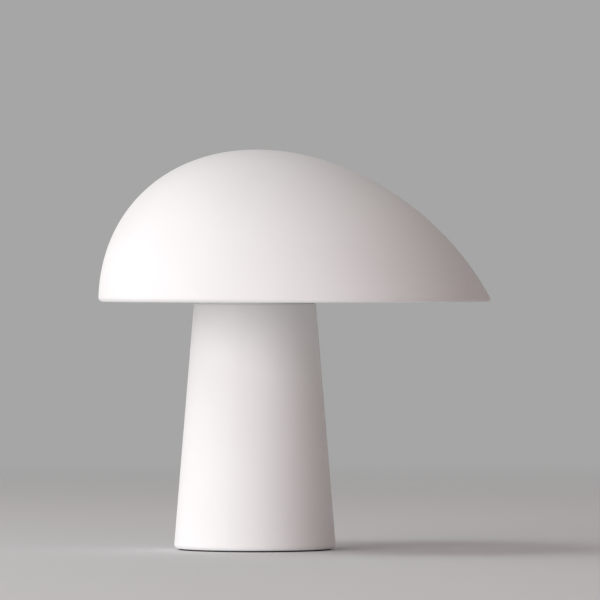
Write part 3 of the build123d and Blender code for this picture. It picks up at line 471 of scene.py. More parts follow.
@dataclass(frozen=True)
class Phosphor(Finish):
    """The yellow resin over a light chip, denser in its middle."""

    coat: float = 0.3

    def lay(self, board: ShaderBoard) -> None:
        """Lays out the resin.

        Args:
            board: The board of its material.
        """
        grain = board.noise(grain=0.12)
        board.feed("Base Color", self.toned(board, grain, 0.78))
        board.feed("Roughness", self.roughened(grain, less=0.0, more=0.15))
        board.feed("Coat Weight", self.coat)
        board.bump(grain, depth=0.01, strength=0.4)


@dataclass(frozen=True)
class TwoColourSleeve(Finish):
    """Wire insulation in one colour, with a second one on the side that faces one way."""

    second: Colour | None = None
    second_side: Triple = (0.55, 0.2, 0.8)

    def lay(self, board: ShaderBoard) -> None:
        """Lays out the insulation.

        Args:
            board: The board of its material.
        """
        ripple = board.noise(grain=0.6)
        tone = self.toned(board, ripple.spread(*NARROW), 0.88)
        if self.second is not None:
            normal = board.add("ShaderNodeTexCoord", output="Normal")
            settings, sockets = {"operation": "DOT_PRODUCT"}, {0: normal, 1: self.second_side}
            facing = board.add("ShaderNodeVectorMath", settings, sockets, "Value")
            tone = board.mix(facing.spread(low=-0.03, high=0.03), tone, self.second)
        board.feed("Base Color", tone)
        board.feed("Roughness", self.roughened(ripple, less=0.05, more=0.05))
        board.bump(ripple, depth=0.01, strength=0.5)


class Finishes:
    """The finishes of this lamp."""

    white_paint = SatinPaint("white_paint", (0.86, 0.853, 0.85), 0.68)
    iron_weight = CastMetal("iron_weight", (0.13, 0.13, 0.135), 0.55)
    zinc_steel = PlatedMetal("zinc_steel", (0.66, 0.67, 0.68), 0.34)
    brass = PlatedMetal("brass", (0.78, 0.58, 0.29), 0.3, tarnish=(0.38, 0.26, 0.12))
    spring_steel = PlatedMetal("spring_steel", (0.4, 0.4, 0.42), 0.3, tarnish=(0.2, 0.19, 0.19))
    black_rubber = Moulding("black_rubber", (0.028, 0.028, 0.03), 0.82, grain=0.8, depth=0.05)
    white_nylon = Moulding("white_nylon", (0.8, 0.79, 0.75), 0.5, grain=0.5, depth=0.01)
    white_plastic = Moulding("white_plastic", (0.82, 0.82, 0.81), 0.38)
    ceramic = Ceramic("ceramic", (0.8, 0.76, 0.68), 0.62)
    bulb_glass = FrostedGlass("bulb_glass", (0.97, 0.97, 0.96), 0.34)
    led_board = Moulding("led_board", (0.78, 0.78, 0.76), 0.42, grain=0.3)
    phosphor = Phosphor("phosphor", (0.86, 0.62, 0.1), 0.35)
    brown_insulation = TwoColourSleeve("brown_insulation", (0.16, 0.06, 0.03), 0.42)
    blue_insulation = TwoColourSleeve("blue_insulation", (0.04, 0.13, 0.42), 0.42)
    earth_insulation = TwoColourSleeve(
        "earth_insulation", (0.06, 0.3, 0.08), 0.42, second=(0.8, 0.66, 0.04)
    )


# ---------------------------------------------------------------------------------------
# Surfaces
# ---------------------------------------------------------------------------------------


@dataclass
class Skin:
    """A surface held as whole arrays, in millimetres."""

    points: np.ndarray
    quads: np.ndarray
    tris: np.ndarray = field(default_factory=lambda: np.zeros((0, 3), int))

    @classmethod
    def from_grid(
        cls,
        grid: np.ndarray,
        loop: bool = False,
        keep: np.ndarray | None = None,
        ends: tuple[bool, bool] = (True, True),
    ) -> "Skin":
        """Joins a grid whose columns go once round.

        A cell joins rows i and i + 1 and columns j and j + 1, and the last column joins the
        first. The last row joins the first where the rows make a loop. Otherwise an end is
        closed by a fan to the middle of its row.

        Args:
            grid: The points, in rows and columns.
            loop: Whether the rows make a loop.
            keep: Which cells are kept, all where it is None.
            ends: Whether the first and the last row are closed.

        Returns:
            The surface.
        """
        rows, cols = grid.shape[:2]
        number = np.arange(rows * cols).reshape(rows, cols)
        lower = number if loop else number[:-1]
        upper = np.roll(number, -1, axis=0) if loop else number[1:]
        corners = [lower, np.roll(lower, -1, axis=1), np.roll(upper, -1, axis=1), upper]
        quads = np.stack(corners, axis=-1)
        quads = quads.reshape(-1, 4) if keep is None else quads[keep]
        points = grid.reshape(-1, 3)
        if loop:
            return cls(points, quads)
        points = np.vstack([points, grid[0].mean(axis=0), grid[-1].mean(axis=0)])
        start = np.full(cols, rows * cols)
        first = np.stack([start, np.roll(number[0], -1), number[0]], axis=-1)
        last = np.stack([start + 1, number[-1], np.roll(number[-1], -1)], axis=-1)
        fans = [fan for fan, closed in zip((first, last), ends) if closed]
        return cls(points, quads, np.vstack(fans))

    @classmethod
    def joined(cls, skins: Sequence["Skin"]) -> "Skin":
        """Puts several surfaces together.

        Args:
            skins: The surfaces.

        Returns:
            One surface with all their points and faces.
        """
        starts = np.cumsum([0] + [len(skin.points) for skin in skins[:-1]])
        return cls(
            np.vstack([skin.points for skin in skins]),
            np.vstack([skin.quads + start for skin, start in zip(skins, starts)]),
            np.vstack([skin.tris + start for skin, start in zip(skins, starts)]),
        )

    def at(self, *places: Triple) -> "Skin":
        """Copies the surface to each of the places.

        Args:
            places: The steps from the origin, in millimetres.

        Returns:
            The copies as one surface.
        """
        steps = [np.array(place) for place in places]
        return Skin.joined([Skin(self.points + step, self.quads, self.tris) for step in steps])

    def mapped(self, matrix: Sequence[Sequence[float]]) -> "Skin":
        """Turns the surface by a matrix of three rows."""
        return Skin(self.points @ np.array(matrix, float).T, self.quads, self.tris)

    def turned(self, degrees: float) -> "Skin":
        """Turns the surface about the Z axis."""
        cosine, sine = math.cos(math.radians(degrees)), math.sin(math.radians(degrees))
        return self.mapped([[cosine, -sine, 0.0], [sine, cosine, 0.0], [0.0, 0.0, 1.0]])

    def mesh(self, name: str) -> bpy.types.Mesh:
        """Makes the mesh, in metres, with merged points and outward faces.

        Args:
            name: The mesh's name.

        Returns:
            The mesh.
        """
        mesh = bpy.data.meshes.new(name)
        faces = self.quads.tolist() + self.tris.tolist()
        mesh.from_pydata((self.points * MM).tolist(), [], faces)
        work = bmesh.new()
        work.from_mesh(mesh)
        bmesh.ops.remove_doubles(work, verts=work.verts, dist=SAME_POINT)
        bmesh.ops.dissolve_degenerate(work, edges=work.edges, dist=NO_LENGTH)
        bmesh.ops.recalc_face_normals(work, faces=work.faces)
        work.to_mesh(mesh)
        work.free()
        return mesh


def circle(steps: int) -> np.ndarray:
    """Angles once round, in equal steps, without the last one."""
    return np.arange(steps) * 2 * np.pi / steps


def ring_places(radius: float, count: int, first: float, height: float) -> list[Triple]:
    """Places on a circle, at equal angles from the first one.

    Args:
        radius: The circle's radius.
        count: How many places.
        first: The first one's angle in degrees.
        height: Their height.

    Returns:
        The places.
    """
    angles = np.radians(first + np.arange(count) * 360.0 / count)
    return [(radius * math.cos(a), radius * math.sin(a), height) for a in angles]


def rounded(corners: Sequence[Triple], closed: bool, steps: int = 6) -> np.ndarray:
    """Rounds the corners of a section.

    A corner with rounding q, at which the section turns by 2t, becomes an arc of radius q
    from q tan t before the corner to as far after it. A point a quarter of q outside each end
    of the arc keeps the flat face beside it flat.

    Args:
        corners: Radius, height and rounding of each corner.
        closed: Whether the last corner joins the first.
        steps: Points on each arc.

    Returns:
        The section's points, radius and height.
    """
    tiny, same = 1e-9, 1e-6
    table = np.array(corners, float)
    path, rounding = table[:, :2], table[:, 2].copy()
    if not closed:
        rounding[[0, -1]] = 0.0
    run_in = path - np.roll(path, 1, axis=0)
    run_out = np.roll(path, -1, axis=0) - path
    run_in /= np.maximum(np.linalg.norm(run_in, axis=1, keepdims=True), tiny)
    run_out /= np.maximum(np.linalg.norm(run_out, axis=1, keepdims=True), tiny)
    cross = run_in[:, 0] * run_out[:, 1] - run_in[:, 1] * run_out[:, 0]
    turn = np.arctan2(cross, (run_in * run_out).sum(axis=1))
    reach = rounding * np.tan(np.abs(turn) / 2)
    left = np.stack([-run_in[:, 1], run_in[:, 0]], axis=-1) * np.sign(turn)[:, None]
    start = path - run_in * reach[:, None]
    centre = start + left * rounding[:, None]
    angle = turn[:, None] * np.linspace(0.0, 1.0, steps)[None]
    away = -left * rounding[:, None]
    arc_x = centre[:, :1] + away[:, :1] * np.cos(angle) - away[:, 1:] * np.sin(angle)
    arc_y = centre[:, 1:] + away[:, :1] * np.sin(angle) + away[:, 1:] * np.cos(angle)
    arcs = np.stack([arc_x, arc_y], axis=-1)
    hold = 0.25 * rounding[:, None]
    before = (start - run_in * hold)[:, None]
    after = (path + run_out * (reach[:, None] + hold))[:, None]
    points = np.concatenate([before, arcs, after], axis=1).reshape(-1, 2)
    step = np.linalg.norm(points - np.roll(points, 1, axis=0), axis=1)
    step[0] = 1.0 if not closed else step[0]
    return points[step > same]


def spun(section: np.ndarray, angles: np.ndarray) -> np.ndarray:
    """Spins a section round the Z axis: x = r cos a, y = r sin a, z = h.

    Args:
        section: Radius and height of each point.
        angles: The angles of the columns.

    Returns:
        The grid of points.
    """
    radius, height = section[:, :1], section[:, 1:]
    rows = [radius * np.cos(angles), radius * np.sin(angles), height + 0.0 * angles]
    return np.stack(rows, axis=-1)


def threaded(radius: float, pitch: float, low: float, high: float, steps: int = 24) -> np.ndarray:
    """A screw thread: the radius falls by 0.54 pitch in the grooves of a helix.

    The depth at a point is a triangle wave of its height over the pitch less its angle over a
    full turn, cut off by an eighth at the crest and at the root, and it fades out over the
    last half pitch at both ends.

    Args:
        radius: The outer radius.
        pitch: The rise of each turn.
        low: Where it starts.
        high: Where it ends.
        steps: Columns in a turn.

    Returns:
        The grid of points.
    """
    per_turn, cut = 8, 0.125
    rows = max(per_turn, int((high - low) / pitch * per_turn))
    height = np.linspace(low, high, rows)[:, None]
    angle = circle(steps)[None]
    wave = 2 * np.abs((height / pitch - angle / (2 * np.pi)) % 1.0 - 0.5)
    fade = np.clip(np.minimum(height - low, high - height) / (0.5 * pitch), 0.0, 1.0)
    reach = radius - 0.54 * pitch * np.clip((1 + 2 * cut) * wave - cut, 0.0, 1.0) * fade
    rows_xyz = [reach * np.cos(angle), reach * np.sin(angle), height + 0.0 * angle]
    return np.stack(rows_xyz, axis=-1)


def hex_nut(flats: float, thread: float, height: float, pitch: float) -> Skin:
    """A hexagon nut: its side is the smaller of a hexagon and a cone that cuts its corners.

    The hexagon's reach is half the flats over the cosine of the angle from the nearest flat.
    The cone grows from 0.95 of half the flats at each end by 1.7 for each unit of height. The
    bore's mouth is wider by 0.12 pitch, and its thread starts a quarter of a pitch inside.

    Args:
        flats: The width across flats.
        thread: The thread's diameter.
        height: The nut's height.
        pitch: The thread's pitch.

    Returns:
        The nut, standing on the origin.
    """
    columns = 60
    angles = circle(columns)
    half = flats / 2
    hexagon = half / np.cos(angles % (np.pi / 3) - np.pi / 6)
    chamfer = np.linspace(0.0, 0.14 * flats / 2, 6)
    levels = np.concatenate([chamfer, height - chamfer[::-1]])[:, None]
    cone = 0.95 * half + 1.7 * np.minimum(levels, height - levels)
    reach = np.minimum(hexagon[None], cone)
    side = np.stack([reach * np.cos(angles), reach * np.sin(angles), levels + 0 * angles], axis=-1)
    mouth, inset = thread / 2 + 0.12 * pitch, 0.25 * pitch
    bore = threaded(thread / 2, pitch, inset, height - inset, columns)[::-1]
    ends = spun(np.array([(mouth, height), (mouth, 0.0)]), angles)
    return Skin.from_grid(np.concatenate([side, ends[:1], bore, ends[1:]]), loop=True)


def washer(bore: float, rim: float, low: float, high: float, eases: Sequence[float]) -> Skin:
    """A flat ring: a rectangle with eased corners, spun round the axis.

    Args:
        bore: The radius of its hole.
        rim: The radius of its rim.
        low: The height of its underside.
        high: The height of its top.
        eases: The roundings, of the bore and rim below and the rim and bore above.

    Returns:
        The ring.
    """
    spots = ((bore, low), (rim, low), (rim, high), (bore, high))
    corners = [(*spot, ease) for spot, ease in zip(spots, eases)]
    return Skin.from_grid(spun(rounded(corners, closed=True), circle(180)), loop=True)


def rounded_box(width: float, length: float, height: float, corner: float, edge: float) -> Skin:
    """A block with rounded corners: each row is a smaller copy of one rounded rectangle.

    The rectangle's outline at an inset i has corners of radius corner - i, and the rows go up
    the side and over the top edge on a quarter circle of radius edge.

    Args:
        width: Its size along X.
        length: Its size along Y.
        height: Its size along Z.
        corner: The radius of its upright edges.
        edge: The radius of its top and bottom edges.

    Returns:
        The block, standing on the origin.
    """
    sweep = np.linspace(0.0, np.pi / 2, 5)
    inset = edge * (1 - np.cos(sweep[::-1]))
    rise = edge * (1 - np.sin(sweep[::-1]))
    inset = np.concatenate([inset, inset[::-1]])
    level = np.concatenate([rise, height - rise[::-1]])
    steps = 6
    quarter = np.linspace(0.0, np.pi / 2, steps)
    angles = np.concatenate([quarter + k * np.pi / 2 for k in range(4)])
    side_x = np.repeat([1.0, -1.0, -1.0, 1.0], steps)
    side_y = np.repeat([1.0, 1.0, -1.0, -1.0], steps)
    turn = corner - np.minimum(inset, 0.9 * corner)[:, None]
    x = side_x * (width / 2 - corner) + turn * np.cos(angles)
    y = side_y * (length / 2 - corner) + turn * np.sin(angles)
    grid = np.stack([x, y, level[:, None] + 0.0 * angles], axis=-1)
    return Skin.from_grid(grid)


def place_piece(
    name: str,
    skin: Skin,
    finish: Finish,
    body: Body,
    nodes: Sequence[str],
) -> bpy.types.Object:
    """Makes a piece of the lamp that stands for CAD nodes.

    Args:
        name: The piece's name.
        skin: Its surface.
        finish: Its finish.
        body: The body that it rides on.
        nodes: The CAD nodes that it replaces.

    Returns:
        The piece.
    """
    mesh = skin.mesh(name)
    mesh.shade_smooth()
    mesh.set_sharp_from_angle(angle=SHARP_EDGE)
    return settle(name, mesh, finish, body, nodes)


def settle(
    name: str,
    mesh: bpy.types.Mesh,
    finish: Finish,
    body: Body,
    nodes: Sequence[str],
) -> bpy.types.Object:
    """Puts a mesh into the scene as a piece of the lamp.

    Args:
        name: The piece's name.
        mesh: Its mesh, in metres.
        finish: Its finish.
        body: The body that it rides on.
        nodes: The CAD nodes that it replaces.

    Returns:
        The piece.
    """
    mesh.materials.clear()
    mesh.materials.append(finish.material())
    piece = bpy.data.objects.new(name, mesh)
    bpy.context.scene.collection.objects.link(piece)
    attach(piece, body.value)
    if nodes:
        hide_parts(*nodes)
    LOG.info("%s: %d faces for %s", name, len(mesh.polygons), ", ".join(nodes) or "no node")
    return piece


def edged_copy(
    node: str, finish: Finish, body: Body, edge: float, segments: int = 2, joined: bool = True
) -> bpy.types.Object:
    """Replaces a CAD node by a copy whose edges are rounded.

    The copy's loose triangles are merged, its flat faces are joined, and a Bevel rounds the
    edges that turn by more than 35 degrees.

    Args:
        node: The CAD node.
        finish: The copy's finish.
        body: The body that it rides on.
        edge: The width of the rounding, in millimetres.
        segments: The steps of the rounding.
        joined: Whether flat faces are joined first. A ring can't be one face, so a plate
            with a hole through it is left in triangles.

    Returns:
        The copy.
    """
    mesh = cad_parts[node].data.copy()
    mesh.name = node + "_edged"
    work = bmesh.new()
    work.from_mesh(mesh)
    bmesh.ops.remove_doubles(work, verts=work.verts, dist=SAME_CORNER)
    if joined:
        bmesh.ops.dissolve_limit(work, angle_limit=0.01, verts=work.verts, edges=work.edges)
    work.to_mesh(mesh)
    work.free()
    mesh.shade_smooth()
    mesh.set_sharp_from_angle(angle=ROUNDED_EDGE)
    piece = settle(node + "_edged", mesh, finish, body, [node])
    bevel = piece.modifiers.new("edge", "BEVEL")
    bevel.width = edge * MM
    bevel.segments = segments
    bevel.limit_method = "ANGLE"
    bevel.angle_limit = ROUNDED_EDGE
    bevel.harden_normals = True
    bevel.use_clamp_overlap = True
    return piece


def carry(finish: Finish, *nodes: str) -> None:
    """Gives carried-over CAD nodes a finish.

    Args:
        finish: The finish.
        nodes: The CAD nodes.
    """
    for node in nodes:
        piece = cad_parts[node]
        if not piece.material_slots:
            piece.data.materials.append(finish.material())
        for place in piece.material_slots:
            place.material = finish.material()
        LOG.info("%s: carried over in %s", node, finish.label)


# ---------------------------------------------------------------------------------------
# Sub-assemblies
# ---------------------------------------------------------------------------------------


class SubAssembly:
    """A part of the lamp that is built and dressed on its own."""

    def build(self) -> None:
        """Makes the new pieces."""
        raise NotImplementedError

    def dress(self) -> None:
        """Gives the CAD nodes that stay their finishes, none where all are replaced."""


@dataclass
class StemForm:
    """The straight cone that the stem is made on, in millimetres."""

    foot_radius: float = 46.65
    taper: float = 0.0817544
    wall: float = 1.505

    def outside(self, height: np.ndarray | float) -> np.ndarray | float:
        """Radius of the outer face at a height."""
        return self.foot_radius - self.taper * height

    def inside(self, height: np.ndarray | float) -> np.ndarray | float:
        """Radius of the inner face at a height."""
        return self.outside(height) - self.wall

    def back_face(self, across: np.ndarray, height: np.ndarray, gap: float) -> np.ndarray:
        """How far back the outer face is: y = the root of radius squared less x squared.

        Args:
            across: The x of each point.
            height: The height of each point.
            gap: How far outside the face.

        Returns:
            The y of each point.
        """
        return np.sqrt((self.outside(height) + gap) ** 2 - across**2)


@dataclass
class WallHole:
    """A round hole through the back of the stem's wall."""

    height: float
    radius: float
    half_rows: float
    half_turn: float


@dataclass
class Stem(SubAssembly):
    """The stem's shell and its cap, parted by a fine seam under the shade."""

    form: StemForm = field(default_factory=StemForm)
    foot_lift: float = 0.8
    foot_corner: float = 2.3
    foot_top: float = 20.0
    lip_ease: float = 0.3
    metal: float = 1.5
    plain_rows: tuple[float, float, int] = (52.0, 140.0, 23)
    seam_height: float = 141.6
    seam_gap: float = 0.35
    seam_depth: float = 0.9
    top_height: float = 146.0
    cap_corner: float = 3.0
    cap_ease: float = 0.1
    cap_hollow: float = 1.2
    spigot: float = 5.0
    spigot_play: float = 0.05
    spigot_ease: float = 0.2
    rod_hole: float = 3.2
    back: float = 90.0
    columns: int = 240
    holes: tuple[WallHole, ...] = (WallHole(13.0, 4.7, 7.0, 9.0), WallHole(40.0, 6.2, 9.0, 12.0))

    def shell_section(self) -> tuple[np.ndarray, np.ndarray, np.ndarray]:
        """The shell's section as a loop: up the outside, over the seam and down the inside.

        Returns:
            The loop, the straight part's rows outside and its rows inside.
        """
        form, lift, top = self.form, self.foot_lift, self.foot_top
        mouth, floor = form.outside(lift) - self.foot_corner, lift + self.metal
        lower = rounded(
            [
                (form.inside(top), top, 0.0),
                (form.inside(floor), floor, self.foot_corner - self.metal),
                (mouth, floor, self.lip_ease),
                (mouth, lift, self.lip_ease),
                (form.outside(lift), lift, self.foot_corner),
                (form.outside(top), top, 0.0),
            ],
            closed=False,
            steps=8,
        )[1:-1]
        spans = [(h.height - h.half_rows, h.height + h.half_rows + 0.5) for h in self.holes]
        levels = [np.arange(*span) for span in spans]
        rows = np.unique(np.concatenate([*levels, np.linspace(*self.plain_rows)]))
        seam, edge = self.seam_height, self.seam_height - self.seam_gap
        groove = form.outside(seam) - self.seam_depth
        outer = np.stack([form.outside(rows), rows], axis=-1)
        inner = np.stack([form.inside(rows), rows], axis=-1)[::-1]
        # The outer edge is eased by three points, 0.08 inwards over the last 0.2.
        rim = np.array(
            [
                (form.outside(edge), edge - 0.2),
                (form.outside(edge) - 0.02, edge - 0.06),
                (form.outside(edge) - 0.08, edge),
                (groove, edge),
                (groove, seam),
                (form.inside(seam) + self.cap_ease, seam),
                (form.inside(seam), seam - self.cap_ease),
            ]
        )
        start = len(lower)
        loop = np.concatenate([lower, outer, rim, inner])
        outside_rows = np.arange(start, start + len(rows))
        inside_rows = np.arange(start + len(rows) + len(rim), len(loop))
        return loop, outside_rows, inside_rows

    def hole_patch(
        self, grid: np.ndarray, rows: np.ndarray, cols: np.ndarray, hole: WallHole, inner: bool
    ) -> tuple[Skin, np.ndarray]:
        """Fills the window that is cut for a hole with a ring of cells.

        The window's outline is pulled towards the hole's circle in four steps, as
        x, z = circle + s (outline - circle), and each point is set on the wall's face.

        Args:
            grid: The shell's points.
            rows: The first and last row of the window.
            cols: The first and last column of the window.
            hole: The hole.
            inner: Whether this is the inner face.

        Returns:
            The ring of cells and the points of the hole's edge.
        """
        low, high, left, right = rows[0], rows[1], cols[0], cols[1]
        outline = np.concatenate(
            [
                grid[low, left:right],
                grid[low:high, right],
                grid[high, right:left:-1],
                grid[high:low:-1, left],
            ]
        )
        centre = np.array([0.0, hole.height])
        flat = outline[:, [0, 2]]
        away = flat - centre
        edge = centre + hole.radius * away / np.linalg.norm(away, axis=1, keepdims=True)
        share = np.array([0.0, 0.3, 0.65, 1.0])[:, None, None]
        spots = edge + share * (flat - edge)
        radius = self.form.inside(spots[..., 1]) if inner else self.form.outside(spots[..., 1])
        depth = np.sqrt(radius**2 - spots[..., 0] ** 2)
        ring = np.stack([spots[..., 0], depth, spots[..., 1]], axis=-1)
        count = len(outline)
        number = np.arange(4 * count).reshape(4, count)
        corners = [number[:-1], np.roll(number[:-1], -1, 1), np.roll(number[1:], -1, 1), number[1:]]
        return Skin(ring.reshape(-1, 3), np.stack(corners, axis=-1).reshape(-1, 4)), ring[0]

    def shell(self) -> Skin:
        """The shell, with its two holes at the back.

        Returns:
            The shell's surface.
        """
        loop, outside_rows, inside_rows = self.shell_section()
        angles = circle(self.columns)
        grid = spun(loop, angles)
        keep = np.ones(grid.shape[:2], bool)
        degrees = np.degrees(angles)
        slack = 0.01
        parts = []
        for hole in self.holes:
            cols = np.flatnonzero(np.abs(degrees - self.back) <= hole.half_turn + slack)
            edges = []
            for rows, inner in ((outside_rows, False), (inside_rows, True)):
                near = rows[np.abs(loop[rows, 1] - hole.height) <= hole.half_rows + slack]
                keep[near[0] : near[-1], cols[0] : cols[-1]] = False
                window = np.array([near[0], near[-1]])
                patch, edge = self.hole_patch(grid, window, cols[[0, -1]], hole, inner)
                parts.append(patch)
                edges.append(edge)
            flipped = np.roll(edges[1][::-1], -self.shared_corner(edges), axis=0)
            parts.append(self.hole_wall(edges[0], flipped))
        return Skin.joined([Skin.from_grid(grid, loop=True, keep=keep), *parts])

    @staticmethod
    def shared_corner(edges: Sequence[np.ndarray]) -> int:
        """How far the turned inner edge is shifted for its first point to face the outer one's."""
        back = edges[1][::-1]
        return int(np.argmin(np.linalg.norm(back[:, [0, 2]] - edges[0][0, [0, 2]], axis=1)))

    @staticmethod
    def hole_wall(outer: np.ndarray, inner: np.ndarray) -> Skin:
        """Joins the hole's two edges through the metal.

        Args:
            outer: The outer edge's points.
            inner: The inner edge's points, in the same order.

        Returns:
            The wall of the hole.
        """
        count = len(outer)
        near, far = np.arange(count), np.arange(count) + count
        quads = np.stack([near, np.roll(near, -1), np.roll(far, -1), far], axis=-1)
        return Skin(np.vstack([outer, inner]), quads)

    def cap(self) -> Skin:
        """The cap: a disc with a rounded shoulder and a spigot that drops into the shell.

        Returns:
            The cap's surface.
        """
        form, seam, top = self.form, self.seam_height, self.top_height
        spigot, ease = form.inside(seam) - self.spigot_play, self.cap_ease
        section = rounded(
            [
                (self.rod_hole, top, ease),
                (form.outside(top), top, self.cap_corner),
                (form.outside(seam), seam, ease),
                (spigot, seam, ease / 2),
                (spigot, seam - self.spigot, self.spigot_ease),
                (spigot - self.metal, seam - self.spigot, self.spigot_ease),
                (spigot - self.metal, top - self.metal, self.cap_hollow),
                (self.rod_hole, top - self.metal, ease),
            ],
            closed=True,
        )
        return Skin.from_grid(spun(section, circle(self.columns)), loop=True)

    def build(self) -> None:
        """Builds the shell and the cap."""
        paint = Finishes.white_paint
        place_piece("stem_skin", self.shell(), paint, Body.LAMP, ["stem_shell"])
        place_piece("stem_cap_skin", self.cap(), paint, Body.LAMP, ["stem_cap"])

    def dress(self) -> None:
        """Gives the foot's nodes their finishes."""
        carry(Finishes.iron_weight, "base_weight")
        carry(Finishes.zinc_steel, "base_plate", "base_plate_screws")
        carry(Finishes.black_rubber, "foot_pad")


@dataclass
class Shade(SubAssembly):
    """The spun shade: a leaning dome with a rolled rim."""

    apex_height: float = 230.0
    radius: float = 117.0
    centre_height: float = 113.0
    wall: float = 1.2
    bead_radius: float = 2.0
    bead_height: float = 144.5
    lean_rate: float = 0.253714
    apex_offset: float = 1.0
    crown_angle: float = 89.2
    rows: tuple[int, int, int] = (120, 26, 90)
    columns: int = 240

    def section(self) -> np.ndarray:
        """The upright section: outer arc, rolled rim and inner arc back to the axis.

        The rim's circle, of radius b, has its centre at h from the dome's. It meets the inner
        arc, of radius r, where the cosine of its angle from the line between the two centres is
        (r squared less h squared less b squared) over 2 h b.

        Returns:
            Radius and height of each point.
        """
        rise = self.bead_height - self.centre_height
        hub = self.radius - self.bead_radius
        tilt, crown = math.asin(rise / hub), math.radians(self.crown_angle)
        outer = np.linspace(crown, tilt, self.rows[0])
        inner_radius = self.radius - self.wall
        middle = (inner_radius**2 - hub**2 - self.bead_radius**2) / (2 * hub * self.bead_radius)
        wrap = 2 * math.pi - math.acos(middle)
        roll = tilt - np.linspace(0.0, wrap, self.rows[1])[1:]
        bead_centre = np.array([hub * math.cos(tilt), self.bead_height])
        bead = bead_centre + self.bead_radius * np.stack([np.cos(roll), np.sin(roll)], axis=-1)
        start = math.atan2(bead[-1, 1] - self.centre_height, bead[-1, 0])
        inner = np.linspace(start, crown, self.rows[2])[1:]
        return np.concatenate([self.arc(outer, self.radius), bead, self.arc(inner, inner_radius)])

    def arc(self, angles: np.ndarray, radius: float) -> np.ndarray:
        """Points on a circle about the dome's centre, at angles above the level.

        Args:
            angles: The angles.
            radius: The circle's radius.

        Returns:
            Radius from the axis and height of each point.
        """
        height = self.centre_height + radius * np.sin(angles)
        return np.stack([radius * np.cos(angles), height], axis=-1)

    def skin(self) -> Skin:
        """The dome, spun upright and then leaned: x grows with the depth below the apex.

        Returns:
            The shade's surface.
        """
        grid = spun(self.section(), circle(self.columns))
        grid[..., 0] += self.apex_offset + self.lean_rate * (self.apex_height - grid[..., 2])
        skin = Skin.from_grid(grid)
        skin.points[-2] = (self.apex_offset, 0.0, self.apex_height)
        skin.points[-1, 2] = self.apex_height - self.wall
        return skin

    def build(self) -> None:
        """Builds the dome."""
        place_piece("shade_skin", self.skin(), Finishes.white_paint, Body.SHADE, ["shade_shell"])


@dataclass
class ShadeHolder(SubAssembly):
    """The disc on the stem, with three posts that carry the ring on which the shade turns."""

    disc_radius: float = 31.5
    disc_bottom: float = 146.0
    disc_top: float = 148.0
    disc_eases: tuple[float, ...] = (0.2, 0.2, 0.4, 0.2)
    rod_hole: float = 3.2
    post_radius: float = 2.0
    post_ease: float = 0.25
    post_circle: float = 28.0
    spigot_radius: float = 1.6
    spigot_ease: float = 0.1
    spigot_top: float = 211.0
    thread_start: float = 0.3
    tip_radius: float = 1.1
    ring_bottom: float = 206.0
    ring_top: float = 208.0
    ring_outer: float = 36.0
    ring_inner: float = 22.0
    ring_eases: tuple[float, ...] = (0.3, 0.3, 0.3, 0.3)
    nut_flats: float = 7.0
    nut_height: float = 3.0
    pitch: float = 0.5
    first_post: float = 30.0

    def posts(self) -> Skin:
        """Three turned posts: a shouldered shaft with a chamfered, threaded upper end.

        Returns:
            The posts' surface.
        """
        columns = 36
        angles = circle(columns)
        thin, top, start = self.spigot_radius, self.spigot_top, self.ring_bottom + self.thread_start
        shaft = rounded(
            [
                (thin, self.disc_bottom, 0.0),
                (thin, self.disc_top, self.spigot_ease),
                (self.post_radius, self.disc_top, self.post_ease),
                (self.post_radius, self.ring_bottom, self.post_ease),
                (thin, self.ring_bottom, self.spigot_ease),
                (thin, start, 0.0),
            ],
            closed=False,
        )
        thread = threaded(thin, self.pitch, start, top - 0.4, columns)
        tip = spun(np.array([(thin - 0.05, top - 0.35), (self.tip_radius, top)]), angles)
        post = Skin.from_grid(np.concatenate([spun(shaft, angles), thread[1:], tip]))
        return post.at(*ring_places(self.post_circle, 3, self.first_post, 0.0))

    def ring(self) -> Skin:
        """The support ring: a flat washer whose four edges are eased.

        Returns:
            The ring's surface.
        """
        low, high = self.ring_bottom, self.ring_top
        return washer(self.ring_inner, self.ring_outer, low, high, self.ring_eases)

    def disc(self) -> Skin:
        """The disc: eased edges round its rim and round the hole for the tie rod.

        Returns:
            The disc's surface.
        """
        low, high = self.disc_bottom, self.disc_top
        return washer(self.rod_hole, self.disc_radius, low, high, self.disc_eases)

    def build(self) -> None:
        """Builds the disc, the posts, the ring and the posts' nuts."""
        zinc, half_corner = Finishes.zinc_steel, 30.0
        nut = hex_nut(self.nut_flats, 2 * self.spigot_radius, self.nut_height, self.pitch)
        nut = nut.turned(half_corner)
        spots = ring_places(self.post_circle, 3, self.first_post, self.ring_top)
        place_piece("holder_disc", self.disc(), zinc, Body.LAMP, ["holder_base"])
        place_piece("holder_turned_posts", self.posts(), zinc, Body.LAMP, ["holder_posts"])
        place_piece("holder_washer_ring", self.ring(), zinc, Body.LAMP, ["holder_ring"])
        place_piece("holder_post_nuts", nut.at(*spots), zinc, Body.LAMP, ["holder_nuts"])

    def dress(self) -> None:
        """Gives the grommet in the disc its finish."""
        carry(Finishes.black_rubber, "wire_grommet")


